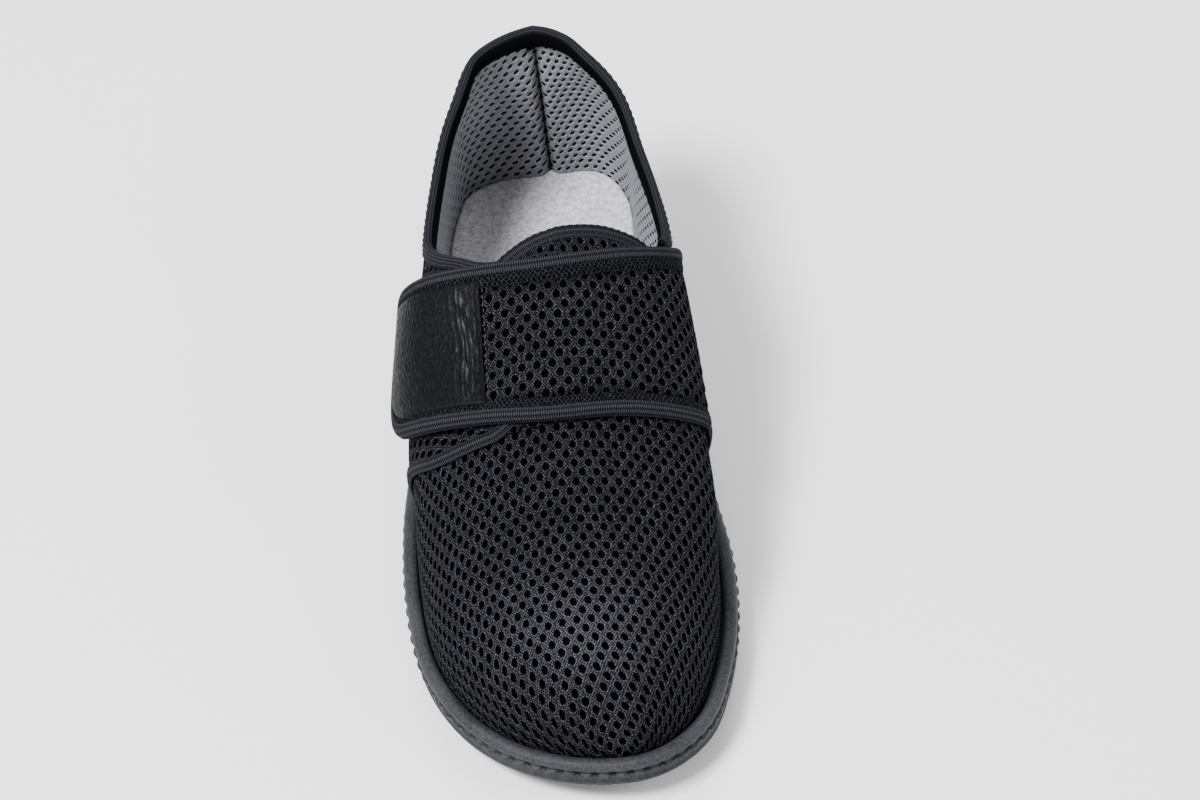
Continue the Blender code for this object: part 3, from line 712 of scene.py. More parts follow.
def cell_centres(a_range, b_range, knit):
    rows = np.arange(math.floor(b_range[0] / knit.row), math.ceil(b_range[1] / knit.row) + 1)
    columns = np.arange(math.floor(a_range[0] / knit.pitch), math.ceil(a_range[1] / knit.pitch) + 1)
    a = columns[None, :] * knit.pitch + (rows[:, None] % 2) * knit.pitch / 2
    b = np.broadcast_to(rows[:, None] * knit.row, a.shape)
    return np.column_stack([a.ravel(), b.ravel()])


def find_along(keys, values, lengths, places):
    """Places of values measured along lines; lengths gives the distance at all places for one key."""
    found = np.zeros(len(keys))
    rows, index = np.unique(np.round(keys, 7), return_inverse=True)
    index = index.ravel()
    order = np.argsort(index, kind="stable")
    cuts = np.searchsorted(index[order], np.arange(len(rows) + 1))
    for i, row in enumerate(rows):
        members = order[cuts[i] : cuts[i + 1]]
        found[members] = np.interp(values[members], lengths(row), places)
    return found


class VampChart:
    """Cloth laid across the shoe: a is the distance from the ridge, b the distance along it."""

    def __init__(self, first):
        self.station = np.linspace(first, 0.9998, 900)
        self.length = run_length(wrap(0.0, self.station, 0.0))
        self.place = np.linspace(-1, 1, 401)

    def across(self, b):
        length = run_length(wrap(self.place, np.interp(b, self.length, self.station), 0.0))
        return length - length[len(length) // 2]

    def find(self, cloth):
        """Place and station of each point of the cloth."""
        place = find_along(cloth[:, 1], cloth[:, 0], self.across, self.place)
        return place, np.interp(cloth[:, 1], self.length, self.station)

    def reach(self, cloth):
        """Distance from the ridge to the feather line on each point's side."""
        rows, index = np.unique(np.round(cloth[:, 1], 7), return_inverse=True)
        ends = np.array([self.across(row)[[0, -1]] for row in rows])[index.ravel()]
        return np.where(cloth[:, 0] >= 0, ends[:, 1], -ends[:, 0])


class QuarterChart:
    """Cloth laid round the heel: a is the distance round it, b the height over the feather line."""

    def __init__(self, last, level):
        angle = np.linspace(0, 2 * math.pi, 1601)[1:-1]
        self.angle = angle[station_of(angle) <= last]
        length = run_length(shell(self.angle, level, 0.0))
        self.length = length - np.interp(math.pi, self.angle, length)
        self.turn = np.linspace(0, 1, 201)

    def up(self, a):
        return run_length(shell(np.interp(a, self.length, self.angle), self.turn, 0.0))

    def find(self, cloth):
        """Angle and turn of each point of the cloth."""
        angle = np.interp(cloth[:, 0], self.length, self.angle)
        return angle, find_along(cloth[:, 0], cloth[:, 1], self.up, self.turn)

    def centres(self, knit):
        """Centres of the cells that keep clear of the cloth's two ends."""
        first, last = self.length[0], self.length[-1]
        centres = cell_centres((first, last), (0.0, 0.11), knit)
        return centres[(centres[:, 0] > first + 0.001) & (centres[:, 0] < last - 0.001)]


def quarter_front(angle, turn):
    """Station of the front edge of the quarter at a place on the upper."""
    lateral = np.mod(angle, 2 * math.pi) < math.pi
    place = np.where(lateral, 1 - turn, turn - 1)
    return np.where(lateral, QUARTER.read("front", np.maximum(place, 0.0)), STRAP.read("front", place))


def quarter_lift(angle, turn):
    """How far the quarter stands out over the vamp under it."""
    behind = (quarter_front(angle, turn) - station_of(angle)) * SOLE_LENGTH / QUARTER_FADE
    return QUARTER_STEP * np.clip(1 - 1.3 * np.clip(behind, 0, 1) ** 2, 0, 1)


def make_vamp(material):
    chart = VampChart(0.50)
    centres = cell_centres((-0.13, 0.13), (0.0, chart.length[-1]), OUTER_KNIT)
    place, station = chart.find(centres)
    rear = np.where(place >= 0, QUARTER.read("front", np.maximum(place, 0.2)), STRAP.read("front", place))
    rear = rear - 0.016
    rear = np.where(np.abs(place) < 0.45, np.maximum(rear - 0.01, 0.58), rear)
    keep = np.abs(centres[:, 0]) <= chart.reach(centres) + 0.4 * OUTER_KNIT.pitch
    keep &= (station >= rear) & (centres[:, 1] < chart.length[-1] + 0.4 * OUTER_KNIT.row)
    cloth, height, pit, faces = hex_cells(centres[keep], OUTER_KNIT, PIT_DEPTH)
    place, station = chart.find(cloth)
    points = wrap(place, station, height)
    # Painted highlight: the yarn is lighter round the middle of the toe, where the light falls
    painted_toe_highlight = np.exp(-(((station - 0.905) / 0.075) ** 2) - (place / 0.42) ** 2)
    seat(piece("vamp_mesh", points, faces, material, cloth, [("pit", pit), ("painted_toe_highlight", painted_toe_highlight)]), "upper")


def make_quarters(material):
    chart = QuarterChart(0.70, 0.30)
    centres = chart.centres(OUTER_KNIT)
    angle, turn = chart.find(centres)
    keep = (turn < topline(angle) - 0.02) & (turn < 0.999)
    keep &= station_of(angle) < quarter_front(angle, turn) - 0.006
    cloth, height, pit, faces = hex_cells(centres[keep], OUTER_KNIT, PIT_DEPTH)
    angle, turn = chart.find(cloth)
    front = quarter_front(angle, turn) - 0.004
    held = np.arccos(np.clip(2 * front - 1, -1, 1))
    held = np.where(angle < math.pi, held, 2 * math.pi - held)
    angle = np.where(station_of(angle) > front, held, angle)
    turn = np.minimum(turn, topline(angle) - 0.004)
    points = shell(angle, turn, height + quarter_lift(angle, turn))
    seat(piece("quarter_mesh", points, faces, material, cloth, [("pit", pit)], flip=True), "upper")


def make_wall(outside, inside):
    """The thin ply between the outer mesh and the lining, which closes the upper's edges."""
    columns, rows = 220, 26
    angle = even_angles(columns)[:, None]
    turn = topline(angle) * np.linspace(0, 1, rows)
    behind = station_of(angle) < quarter_front(angle, turn) - 0.004
    lift = np.where(behind, np.maximum(quarter_lift(angle, turn), 0), 0)
    outer = shell(angle, turn, -0.00125 + 0.6 * lift)
    inner = shell(angle, turn, -WALL + 0.0008)
    points = np.concatenate([outer.reshape(-1, 3), inner.reshape(-1, 3)])
    half = columns * rows
    faces = grid_faces(columns, rows, wrap_rows=True)
    inner_faces = [tuple(v + half for v in reversed(face)) for face in faces]
    for i in range(columns):
        a, b = i * rows, (i + 1) % columns * rows
        faces.append((a, half + a, half + b, b))
        a, b = a + rows - 1, b + rows - 1
        faces.append((a, b, half + b, half + a))
    made = piece("upper_ply", points, faces + inner_faces, outside, points[:, :2])
    made.data.materials.append(inside)
    # The inner face is grey, and black for its last three rows under the edge
    for number, polygon in enumerate(list(made.data.polygons)[len(faces) :]):
        polygon.material_index = int(number % (rows - 1) < rows - 4)
    seat(made, "upper", replace=True)


def make_lining(material):
    """Padded lining, which swells out beside the seam at the heel."""
    chart = QuarterChart(0.72, 0.5)
    centres = chart.centres(LINING_KNIT)
    angle, turn = chart.find(centres)
    short = np.where(station_of(angle) > COLLAR_SCENE_ENDS[1] - 0.01, 0.06, 0.004)
    keep = (turn < topline(angle) - short) & (turn < 0.99)
    cloth, height, pit, faces = hex_cells(centres[keep], LINING_KNIT, LINING_PIT_DEPTH)
    angle, turn = chart.find(cloth)
    top = topline(angle)
    turn = np.minimum(turn, top - 0.003)
    fade = eased(np.clip((top - turn - 0.02) / 0.14, 0, 1))
    near = np.abs(cloth[:, 0])
    swell = LINING_SWELL * (1 - np.exp(-near / 0.0020)) * np.exp(-((near / 0.017) ** 2))
    points = shell(angle, turn, -WALL - height - swell * fade - 0.0001)
    # Painted shade: the lining darkens to near black along the seam's crease
    crease_light_and_shade = np.exp(-np.maximum(near - 0.0004, 0) / CREASE_SHADE_WIDTH)
    seat(piece("lining_mesh", points, faces, material, cloth, [("pit", pit), ("groove", crease_light_and_shade)]), "upper")


def along(path, surface, spacing):
    """A path of places resampled evenly, with the length at each point."""
    length = run_length(surface(path[:, 0], path[:, 1], 0.0))
    at = np.linspace(0, length[-1], max(int(length[-1] / spacing), 2) + 1)
    return np.column_stack([np.interp(at, length, path[:, i]) for i in (0, 1)]), at


def tape(name, surface, path, section, material, slot, replace=True, spacing=0.0008):
    """A tape along a path of places; section rows hold the distance aside and out, and how much painted shade
    it takes.
    """
    path, at = along(path, surface, spacing)
    lines = []
    for aside, out, *_ in section:
        place = draw_in(surface, path, aside)
        lines.append(surface(place[:, 0], place[:, 1], out(path) if callable(out) else out))
    points = np.stack(lines, axis=1)
    count, sides = points.shape[:2]
    # Painted shade for each section row, carried by the groove attribute
    dark = np.tile([row[2] if len(row) > 2 else 0.0 for row in section], count)
    girth = run_length(points[count // 2])
    uv = np.stack(np.broadcast_arrays(at[:, None], girth[None, :]), axis=-1).reshape(-1, 2)
    faces = grid_faces(count, sides, wrap_columns=True)
    faces.append(tuple(range(sides)))
    faces.append(tuple(reversed(range((count - 1) * sides, count * sides))))
    seat(piece(name, points.reshape(-1, 3), faces, material, uv, [("groove", dark)]), slot, replace)


def stitches(name, surface, path, aside, out, material, slot, length, gap, width):
    """A row of stitches beside a path."""
    path, _ = along(path, surface, 0.0004)
    path = draw_in(surface, path, aside)
    value = out(path) if callable(out) else np.full(len(path), out)
    line = surface(path[:, 0], path[:, 1], value)
    normal = surface(path[:, 0], path[:, 1], value + 0.001) - line
    normal /= np.linalg.norm(normal, axis=1, keepdims=True)
    span = run_length(line)
    rings, sides = 5, 6
    t = np.linspace(0, 1, rings)
    fat = np.sqrt(np.clip(1 - (2 * t - 1) ** 2, 0.05, 1)) * width
    arch = np.sin(t * math.pi) * width * 0.8 - width * 0.2
    points, faces = [], []
    start = 0.0
    while start + length < span[-1]:
        place = start + t * length
        middle, up = (
            np.column_stack([np.interp(place, span, track[:, i]) for i in range(3)])
            for track in (line, normal)
        )
        run = middle[-1] - middle[0]
        side = np.cross(run / np.linalg.norm(run), up)
        base = len(points) * rings * sides
        ring = []
        for k in range(sides):
            a = k * math.pi / 3
            rise, spread = arch + fat * math.sin(a), fat * math.cos(a)
            ring.append(middle + up * rise[:, None] + side * spread[:, None])
        points.append(np.stack(ring, axis=1).reshape(-1, 3))
        faces += grid_faces(rings, sides, wrap_columns=True, start=base)
        faces.append(tuple(base + k for k in reversed(range(sides))))
        faces.append(tuple(base + (rings - 1) * sides + k for k in range(sides)))
        start += length + gap
    seat(piece(name, np.concatenate(points), faces, material), slot)


def strap_end_span():
    """Metres across the strap's free end for each unit of place."""
    middle = (STRAP.read("rear", STRAP_END) + STRAP.read("front", STRAP_END)) / 2
    near = wrap(np.array([STRAP_END - 0.1, STRAP_END]), middle, 0.0)
    return np.linalg.norm(near[1] - near[0]) / 0.1


END_SPAN = strap_end_span()


def strap_edges(seam, count):
    """Rear and front edge of the strap from its seam to the middle of its rounded end."""
    corner = STRAP_CORNER / END_SPAN
    bend = np.linspace(0, math.pi / 2, 16)[1:]
    straight = np.linspace(seam, STRAP_END - corner, count)
    places = np.concatenate([straight, STRAP_END - corner * (1 - np.sin(bend))])
    tuck = np.concatenate([np.zeros(count), STRAP_CORNER * (1 - np.cos(bend))]) / SOLE_LENGTH
    rear = np.column_stack([places, STRAP.read("rear", places) + tuck])
    front = np.column_stack([places, STRAP.read("front", places) - tuck])
    return rear, front


def strap_base(path):
    lift = np.clip(path[..., 0] / 0.5, 0, 1)
    return 2 * CLEARANCE + (QUARTER_STEP + TAPE) * eased(lift)


def strap_top(path):
    full = np.clip((path[..., 0] - STRAP_SEAM) / (STRAP_FULL - STRAP_SEAM), 0, 1)
    return strap_base(path) + STRAP_THICKNESS * (1 + full) / 2


def strap_grid(seam, count, inset, shares):
    rear, front = strap_edges(seam, count)
    path = draw_in(wrap, np.concatenate([rear, front[::-1]]), inset)
    rear, front = path[: len(rear)], path[len(rear) :][::-1]
    return rear[:, None, :] + (front - rear)[:, None, :] * shares[None, :, None]


def plate(name, grid, low, high, material, slot, values=()):
    """A closed plate over a grid of places, between two levels given per point."""
    under = wrap(grid[..., 0], grid[..., 1], low)
    over = wrap(grid[..., 0], grid[..., 1], high)
    rows, columns = grid.shape[:2]
    points = np.concatenate([over.reshape(-1, 3), under.reshape(-1, 3)])
    half = rows * columns
    faces = grid_faces(rows, columns)
    faces += [tuple(v + half for v in reversed(face)) for face in faces]
    loop = (
        list(range(columns))
        + [i * columns + columns - 1 for i in range(1, rows)]
        + [(rows - 1) * columns + j for j in range(columns - 2, -1, -1)]
        + [i * columns for i in range(rows - 2, 0, -1)]
    )
    for a, b in zip(loop, loop[1:] + loop[:1]):
        faces.append((b, a, a + half, b + half))
    u = run_length(over[:, columns // 2])
    across = np.linalg.norm(np.diff(over, axis=1), axis=2)
    v = np.concatenate([np.zeros((rows, 1)), np.cumsum(across, axis=1)], axis=1)
    uv = np.stack([np.broadcast_to(u[:, None], v.shape), v], axis=-1).reshape(-1, 2)
    values = [(key, np.tile(np.broadcast_to(value, (rows, columns)).ravel(), 2)) for key, value in values]
    seat(piece(name, points, faces, material, np.concatenate([uv, uv]), values), slot, replace=True)


def make_strap(mesh_material, ply_material, knit_material):
    shares = np.linspace(0, 1, 22)
    grid = strap_grid(STRAP_SEAM - 0.02, 60, 0.0016, shares)
    rounding = np.clip(np.minimum(shares, 1 - shares) * 9, 0, 1)
    edge_drop = 0.0008 * (1 - np.sin(rounding * math.pi / 2))
    plate("strap_ply", grid, strap_base(grid), strap_top(grid) - PLY_DROP - edge_drop, ply_material, "strap")
    chart = VampChart(0.34)
    centres = cell_centres((-0.13, 0.13), (0.0, 0.12), OUTER_KNIT)
    place, station = chart.find(centres)
    end = STRAP_END - (TAPE_WIDTH + PATCH_MARGIN + PATCH_LENGTH - 0.002) / END_SPAN
    side = (KNIT_REACH - 0.0018) / SOLE_LENGTH
    keep = (place > STRAP_SEAM - 0.03) & (place < end)
    keep &= (station > STRAP.read("rear", place) + side) & (station < STRAP.read("front", place) - side)
    cloth, height, pit, faces = hex_cells(centres[keep], OUTER_KNIT, PIT_DEPTH)
    place, station = chart.find(cloth)
    near = np.minimum(station - STRAP.read("rear", place), STRAP.read("front", place) - station) * SOLE_LENGTH
    by_edge = np.exp(-((np.maximum(near - KNIT_REACH, 0) / PRESSED_SHADE_WIDTH) ** 2))
    by_seam = np.exp(-((np.maximum(end - place, 0) * END_SPAN / 0.0020) ** 2))
    # The mesh is pressed down beside the knit band and the patch, and painted darker there as shade
    pressed_and_shaded = np.maximum(by_edge, by_seam)
    points = wrap(place, station, strap_top(place[:, None]) + height - 0.0004 * pressed_and_shaded)
    values = [("pit", pit), ("pressed_and_shaded", pressed_and_shaded * 0.8)]
    seat(piece("strap_mesh", points, faces, mesh_material, cloth, values), "strap")
    # Dense knit between the mesh and the bindings
    rear, front = strap_edges(STRAP_SEAM - 0.02, 90)
    section = [
        (aside, lambda path, up=up: strap_top(path) + up)
        for aside, up in (
            (0.0024, -0.0004), (0.0032, 0.00005), (0.0048, 0.00030), (KNIT_REACH - 0.0010, 0.00018),
            (KNIT_REACH - 0.0002, -0.0003), (KNIT_REACH, -0.0016), (0.0024, -0.0014),
        )
    ]
    path = np.concatenate([rear, front[::-1]])
    tape("strap_knit", wrap, path, section, knit_material, "strap", replace=False, spacing=0.0012)


def make_patch(leather, thread_material):
    """Leather patch with a raised edge, soft folds by its seam with painted highlights along them, and a row
    of stitches beside it.
    """
    inset = TAPE_WIDTH + PATCH_MARGIN - 0.0006
    seam = STRAP_END - (inset + PATCH_LENGTH) / END_SPAN
    columns = 90
    v = np.linspace(0, 1, columns)
    grid = strap_grid(seam, 190, inset, v)
    by_seam = grid[0, 2:-2] - (0.0011 / END_SPAN, 0.0)
    stitches(
        "patch_stitches", wrap, by_seam, 0.0, lambda path: strap_top(path) + 0.00045,
        thread_material, "strap", 0.0016, 0.0007, 0.0002,
    )
    count = len(grid)
    u = np.clip((grid[:, columns // 2, 0] - seam) / (STRAP_END - seam), 0, 1)[:, None] * np.ones((1, columns))
    to_end = np.clip((count - 1 - np.arange(count))[:, None] / 5, 0, 1)
    rounded = np.minimum(np.minimum(np.minimum(v, 1 - v) / 0.035, 1), to_end)
    ease = np.sqrt(1 - (1 - rounded) ** 2)
    fold, crease_light_and_shade = np.zeros(u.shape), np.zeros(u.shape)
    run = np.sin(np.clip(v * 1.05, 0, 1) * math.pi) ** 0.5
    for at, width, tall, waver, phase in PATCH_FOLDS:
        line = at + waver * (np.sin(v * 5.0 + phase) + 0.4 * np.sin(v * 13.0 + 2 * phase))
        fold += tall * np.exp(-(((u - line) / width) ** 2)) * run
        # Painted highlight: a thin bright line along each fold's crest, broken up along its length
        thin = 0.0060 * (1 + 0.5 * np.sin(v * 21 + 9 * phase))
        broken = 0.6 + 0.4 * np.sin(v * 33 + 17 * phase)
        crease_light_and_shade += tall / 0.0008 * np.exp(-(((u - line) / thin) ** 2)) * run * broken
    base = strap_top(grid) - 0.0002
    high = base + 0.0003 + (0.0009 + fold) * ease * (0.35 + 0.65 * np.clip(u / 0.025, 0, 1))
    values = [("crease_light_and_shade", np.clip(crease_light_and_shade, 0, 1))]
    plate("strap_patch_leather", grid, base, high, leather, "strap_patch", values)


def make_bindings(ribbed, stitch):
    """Tapes along the strap's edges, down the inner quarter's front edge and along the outer one's."""
    sink = 0.035
    rear, front = strap_edges(STRAP_SEAM - sink, 70)
    down = np.linspace(STRAP_SEAM - sink, -0.985, 30)[1:]
    quarter = np.column_stack([down, STRAP.read("front", down)])
    path = np.concatenate([rear, front[::-1], quarter])

    def high(path):
        """Top of what the tape binds. At the rear it dips into the mesh past the seam."""
        share = np.clip((path[:, 0] - (STRAP_SEAM - 0.03)) / 0.03, 0, 1)
        middle = (STRAP.read("rear", path[:, 0]) + STRAP.read("front", path[:, 0])) / 2
        dip = 0.0032 * (1 - share) * (path[:, 1] < middle)
        return QUARTER_STEP * (1 - share) + strap_top(path) * share - dip

    section = [
        (aside, lambda path, share=share, up=up: strap_base(path) * (1 - share) + high(path) * share + up)
        for aside, share, up in (
            (TAPE_WIDTH, 0, 0.0), (0.0010, 0, -0.0001), (0.0001, 0.3, 0.0), (-0.0003, 0.6, 0.0),
            (0.0001, 1, 0.0001), (0.0009, 1, 0.0008), (0.0019, 1, 0.00105), (0.0031, 1, 0.0009),
            (0.0039, 1, 0.00055), (TAPE_WIDTH + 0.0001, 1, -0.0002),
        )
    ]
    size = (0.0017, 0.0008, 0.00018)
    tape("strap_tape", wrap, path, section, ribbed, "strap_binding")
    stitches(
        "strap_stitches", wrap, path, 0.0034, lambda path: high(path) + 0.00078,
        stitch, "strap_binding", *size,
    )
    places = np.linspace(0.985, 0.09, 70)
    tuck = 0.030 * np.clip((0.24 - places) / 0.15, 0, 1) ** 1.5
    path = np.column_stack([places, QUARTER.read("front", places) - tuck])
    section = [
        (TAPE_WIDTH, 0.0002), (0.0005, 0.0002), (-0.0002, 0.0008), (0.0004, 0.0016),
        (0.0014, 0.0021), (0.0028, 0.0021), (0.0038, 0.0018), (TAPE_WIDTH + 0.0001, 0.0008),
    ]
    tape("quarter_tape", wrap, path, section, ribbed, "quarter_binding")
    stitches("quarter_stitches", wrap, path, 0.0033, 0.0020, stitch, "quarter_binding", *size)


def make_collar(material, stitch):
    first = math.acos(2 * COLLAR_SCENE_ENDS[0] - 1)
    last = 2 * math.pi - math.acos(2 * COLLAR_SCENE_ENDS[1] - 1)
    angle = np.linspace(first, last, 260)
    path = np.column_stack([angle, topline(angle)])
    depth = -COLLAR_TAPE_DEPTH
    # The tape lies over the crest; the band under it that faces the inside is painted darker, as shade
    section = [
        (depth, 0.0), (depth + 0.0004, 0.0008), (-0.0024, 0.0011), (-0.0008, 0.0011), (0.0004, 0.0007),
        (0.0011, -0.0003), (0.0012, -0.0013), (0.0009, -0.0018, 0.3), (0.0004, -0.0020, 1.0),
        (0.0003, -0.0027, 1.0), (-0.0002, -WALL - 0.0005, 1.0), (-0.0014, -WALL - 0.0010, 1.0),
        (depth + 0.0008, -WALL - 0.0010, 1.0), (depth, -WALL - 0.0004, 1.0), (depth, -WALL + 0.0004, 1.0),
        (-0.0006, -WALL + 0.0006, 1.0), (-0.0006, -0.0004, 1.0),
    ]
    tape("collar_tape", shell, path, section, material, "collar_binding", spacing=0.0015)
    size = (0.0022, 0.0009, 0.00016)
    stitches("collar_stitches", shell, path, -0.0035, 0.00105, stitch, "collar_binding", *size)


def tongue_edge(count):
    places = np.linspace(-TONGUE_SIDE, TONGUE_SIDE, count)
    return np.column_stack([places, TONGUE.read("rear", places)])


def make_tongue(mesh_material, ply_material, ribbed, stitch):
    top = -WALL - 1.5 * TAPE - 5 * CLEARANCE
    low = top - TONGUE_THICKNESS
    rear = draw_in(wrap, tongue_edge(70), 0.002)
    share = np.linspace(0, 1, 40)
    grid = np.repeat(rear[:, None, :], len(share), axis=1)
    grid[..., 1] += (TONGUE_FRONT - grid[..., 1]) * share
    plate("tongue_ply", grid, low, top - 0.0013, ply_material, "tongue")
    chart = VampChart(0.30)
    centres = cell_centres((-0.06, 0.06), (0.0, 0.10), OUTER_KNIT)
    place, station = chart.find(centres)
    keep = (np.abs(place) < TONGUE_SIDE - 0.02) & (station < 0.52)
    keep &= station > TONGUE.read("rear", place) + 0.0035 / SOLE_LENGTH
    cloth, height, pit, faces = hex_cells(centres[keep], OUTER_KNIT, TONGUE_PIT_DEPTH)
    points = wrap(*chart.find(cloth), top + height)
    seat(piece("tongue_mesh", points, faces, mesh_material, cloth, [("pit", pit)]), "tongue")
    section = [
        (TAPE_WIDTH + 0.0016, low - 0.0004), (0.0010, low - 0.0004), (0.0, low + 0.0008),
        (-0.0002, (low + top) / 2), (0.0, top - 0.0004), (0.0009, top + 0.0004), (0.0028, top + 0.0006),
        (0.0048, top + 0.0005), (TAPE_WIDTH + 0.0016, top - 0.0004),
    ]
    path = tongue_edge(120)
    tape("tongue_tape", wrap, path, section, ribbed, "tongue_binding")
    size = (0.0018, 0.0008, 0.0002)
    for number, (aside, out) in enumerate(((0.0012, 0.00055), (0.0044, 0.0006))):
        stitches(f"tongue_stitches_{number}", wrap, path, aside, top + out, stitch, "tongue_binding", *size)


def make_insole(material):
    angle = even_angles(240)
    count = len(angle)
    rings = []
    for out, high in (
        (0.0, 0.0002), (0.0, 0.0024), (-0.0004, 0.0031), (-0.0012, 0.0034), (-0.003, 0.0035), (-0.008, 0.0034)
    ):
        place, station = sole_ring(angle, out - BEAD_WIDTH - CLEARANCE - WALL)
        rings.append(np.column_stack([place, feather(station) + high]))
    points = np.concatenate(rings)
    faces = grid_faces(len(rings), count, wrap_columns=True) + cap_faces((len(rings) - 1) * count, count)
    faces += [tuple(reversed(face)) for face in cap_faces(0, count)[1:-1]]
    seat(piece("insole_felt", points, faces, material, points[:, :2], flip=True), "insole", replace=True)


def make_sole_side(foam):
    """Bead, scallops with painted shadow dashes under the bead between them, and the smooth band under them.
    """
    per_scallop = 8
    count = 2 * round(FINE_LENGTH[-1] / SCALLOP_PITCH / 2) * per_scallop
    angle = even_angles(count)
    bulge = np.abs(np.sin(np.arange(count) / per_scallop % 1.0 * math.pi)) ** 0.62
    bump = SCALLOP_DEPTH * (bulge - 0.4)
    # Painted shadow: a dark dash in the slot under the bead, where the scallops fall away
    dash_shadow = np.clip((0.88 - bulge) / 0.25, 0, 1)
    rings, groove = [], []
    # Bead and scallops: distance out, drop from the bead's top, share of the scallop, painted shadow in the
    # slot under the bead
    for out, drop, share, dark in (
        (-0.0062, SEAT_DEPTH, 0, 0), (-BEAD_WIDTH, SEAT_DEPTH, 0, 0), (-0.98 * BEAD_WIDTH, 0.0014, 0, 0),
        (-0.90 * BEAD_WIDTH, 0.0006, 0, 0), (-0.74 * BEAD_WIDTH, 0.00012, 0, 0),
        (-0.54 * BEAD_WIDTH, -0.0001, 0, 0), (-0.34 * BEAD_WIDTH, 0.0001, 0, 0),
        (-0.16 * BEAD_WIDTH, 0.0007, 0, 0), (-0.03 * BEAD_WIDTH, 0.0015, 0, 0), (0.0001, 0.0024, 0, 0),
        (-0.0003, 0.0030, 0.2, 0), (-0.0009, 0.0034, 0.6, 1.0), (-0.0013, 0.0038, 0.9, 1.0),
        (-0.0009, 0.0041, 1.0, 1.0), (-0.0002, 0.0045, 1.0, 0.8), (0.0, 0.0051, 1.0, 0.1),
        (-0.0002, 0.0055, 0.7, 0.1), (-0.0006, 0.0058, 0.2, 0.2),
    ):
        place, station = sole_ring(angle, out + bump * share)
        rings.append(np.column_stack([place, rim(station) - drop]))
        groove.append(dark * dash_shadow)
    # Band: distance out, share of its height, height over the underside, painted shade under the scallops
    for out, share, up, dark in (
        (-0.0006, 1.0, 0, 0.15), (-0.0004, 0.55, 0, 0), (-0.00015, 0.52, 0, 0), (-0.0004, 0.49, 0, 0),
        (-0.0004, 0.3, 0, 0), (-0.0005, 0, 0.0024, 0), (-0.0008, 0, 0.0014, 0), (-0.0013, 0, 0.0006, 0),
        (-0.0022, 0, 0.00012, 0), (-0.0034, 0, 0, 0), (-0.0052, 0, 0.0003, 0),
    ):
        place, station = sole_ring(angle, out)
        base = ground(station)
        rings.append(np.column_stack([place, base + (rim(station) - BAND_TOP - base) * share + up]))
        groove.append(np.full(count, dark))
    points = np.concatenate(rings)
    faces = grid_faces(len(rings), count, wrap_columns=True)
    values = [("groove", np.concatenate(groove))]
    seat(piece("sole_side", points, faces, foam, points[:, :2], values, flip=True), "sole", replace=True)


def make_sole_top(foam):
    """Top of the sole inside the upper."""
    angle = even_angles(200)
    place, station = sole_ring(angle, -BEAD_WIDTH - 0.0002)
    points = np.column_stack([place, rim(station) - SEAT_DEPTH + 0.0001])
    faces = cap_faces(0, len(angle))
    seat(piece("sole_top", points, faces, foam, place, smooth=False, flip=True), "sole")


def tread_lines():
    for groove in GROOVES:
        start, middle, end = np.array(groove) * (SOLE_LENGTH, BALL_WIDTH)
        t = np.linspace(0, 1, 25)[:, None]
        curve = start * (1 - t) * (1 - 2 * t) + middle * 4 * t * (1 - t) + end * t * (2 * t - 1)
        yield np.column_stack([curve[:, 1], SOLE_LENGTH / 2 - curve[:, 0]])
    loop, _ = sole_ring(even_angles(160), -TREAD_INSET)
    yield np.concatenate([loop, loop[:1]])


def make_tread(foam):
    """Underside of the sole, with its grooves cut in."""
    rows, columns = 430, 120
    lateral = even_angles(2 * rows)[1:rows]
    left, _ = sole_ring(lateral, -0.0040)
    right, _ = sole_ring(2 * math.pi - lateral, -0.0040)
    share = np.linspace(0, 1, columns)[None, :, None]
    flat = (left[:, None, :] + (right - left)[:, None, :] * share).reshape(-1, 2)
    near = np.full(len(flat), 1.0)
    for path in tread_lines():
        for start, end in zip(path[:-1], path[1:]):
            run = end - start
            t = np.clip(((flat - start) @ run) / (run @ run), 0, 1)
            near = np.minimum(near, np.linalg.norm(flat - (start + t[:, None] * run), axis=1))
    # The cut deepens the grooves and paints shade into them through the groove attribute
    cut = eased(np.clip((GROOVE_WIDTH * 0.62 - near) / (GROOVE_WIDTH * 0.34), 0, 1))
    points = np.column_stack([flat, ground(sole_station(flat)) + GROOVE_DEPTH * cut])
    seat(piece("sole_tread", points, grid_faces(rows - 1, columns), foam, flat, [("groove", cut)]), "sole")


# Stage


def area_light(name, place, size, power):
    data = bpy.data.lights.new(name, "AREA")
    data.shape = "RECTANGLE"
    data.size, data.size_y = size
    data.energy = power
    light = bpy.data.objects.new(name, data)
    bpy.context.scene.collection.objects.link(light)
    light.location = place
    aim = Vector((0.01, -0.01, 0.05)) - Vector(place)
    light.rotation_euler = aim.to_track_quat("-Z", "Y").to_euler()


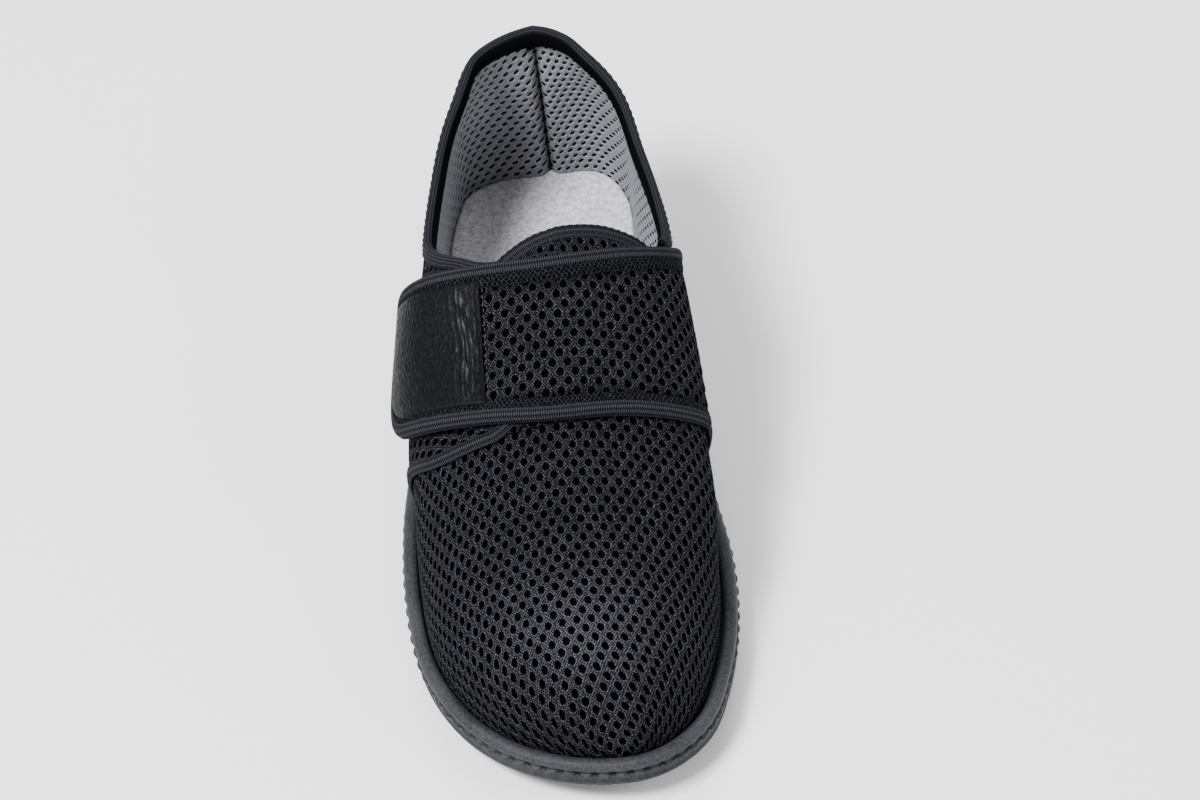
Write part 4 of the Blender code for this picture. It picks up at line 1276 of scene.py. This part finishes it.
def make_stage():
    paint = Paint("floor", 0.9, 0.2)
    paint.shader.inputs["Base Color"].default_value = (0.92, 0.92, 0.92, 1)
    size = 6.0
    corners = [(x * size, y * size, -FLOOR_DROP) for x, y in ((-1, -1), (1, -1), (1, 1), (-1, 1))]
    mesh = bpy.data.meshes.new("floor")
    mesh.from_pydata(corners, [], [(0, 1, 2, 3)])
    floor = bpy.data.objects.new("floor", mesh)
    bpy.context.scene.collection.objects.link(floor)
    mesh.materials.append(paint.material)
    world = bpy.data.worlds.new("studio")
    bpy.context.scene.world = world
    world.use_nodes = True
    background = world.node_tree.nodes["Background"]
    background.inputs["Color"].default_value = (1, 1, 1, 1)
    background.inputs["Strength"].default_value = 0.55
    area_light("key", (-0.74, -0.45, 1.5), (0.6, 0.5), 64)
    area_light("back", (0.2, 1.1, 1.4), (0.9, 0.6), 18)
    area_light("side", (1.3, -0.6, 1.0), (0.6, 0.6), 11)
    area_light("front", (0.1, -1.5, 0.6), (0.5, 0.4), 6)


def make_camera():
    """A camera 1.2 m away, in front of the toe, looking down at the shoe and rolled a little."""
    azimuth, elevation, roll = (math.radians(turn) for turn in (-0.52, 45.41, -7.09))
    distance = 1.2
    target = Vector((0.006, -0.0178, 0.0578)) + Vector(SHIFT.tolist())
    level = math.cos(elevation)
    away = Vector((math.sin(azimuth) * level, -math.cos(azimuth) * level, math.sin(elevation)))
    right = (-away).cross(Vector((0, 0, 1))).normalized()
    up = right.cross(-away)
    tilted_right = right * math.cos(roll) + up * math.sin(roll)
    tilted_up = -right * math.sin(roll) + up * math.cos(roll)
    data = bpy.data.cameras.new("camera")
    data.sensor_width = 36
    data.lens = 108
    camera = bpy.data.objects.new("camera", data)
    bpy.context.scene.collection.objects.link(camera)
    turn = Matrix((tilted_right, tilted_up, away)).transposed().to_4x4()
    camera.matrix_world = Matrix.Translation(target + away * distance) @ turn
    bpy.context.scene.camera = camera


make_camera()
make_stage()

hole_black = (0.0001, 0.0001, 0.0002)
black_mesh = air_mesh(
    "black_air_mesh", (0.0005, 0.0005, 0.0009), (0.0066, 0.0068, 0.0094), (0.104, 0.106, 0.126), hole_black
)
grey_mesh = air_mesh(
    "grey_air_mesh", (0.11, 0.115, 0.13), (0.30, 0.315, 0.345), (0.60, 0.62, 0.65),
    (0.004, 0.004, 0.005), 500.0,
)
knit = air_mesh(
    "dense_knit", (0.0003, 0.0003, 0.0005), (0.0045, 0.0047, 0.0060), (0.060, 0.062, 0.072), hole_black, 260.0
)
black_cloth = plain_cloth("black_backing", hole_black, (0.0006, 0.0006, 0.0008))
grey_cloth = plain_cloth("grey_backing", (0.16, 0.165, 0.17), (0.32, 0.33, 0.34))
ribbed = ribbed_tape("ribbed_tape", (0.0008, 0.0009, 0.0014), (0.034, 0.037, 0.045))
collar_cloth = ribbed_tape("collar_tape", (0.0006, 0.0006, 0.0010), (0.020, 0.021, 0.027), 0.0012, 0.3, 0.3)
stitch = thread("black_thread", (0.018, 0.018, 0.021))
seam_thread = thread("seam_thread", (0.050, 0.050, 0.056))
foam = moulded_foam("moulded_foam", (0.0060, 0.0070, 0.0088), (0.0400, 0.0425, 0.0480), 0.55, 0.00024)
tread_foam = moulded_foam("tread_foam", (0.0100, 0.0105, 0.0115), (0.0200, 0.0205, 0.0220), 0.8, 0.0002)

make_wall(black_cloth, grey_cloth)
make_vamp(black_mesh)
make_quarters(black_mesh)
make_lining(grey_mesh)
make_tongue(black_mesh, black_cloth, ribbed, stitch)
make_strap(black_mesh, black_cloth, knit)
make_patch(grained_leather("grained_leather"), seam_thread)
make_bindings(ribbed, stitch)
make_collar(collar_cloth, stitch)
make_insole(felt("grey_felt"))
make_sole_side(foam)
make_sole_top(foam)
make_tread(tread_foam)
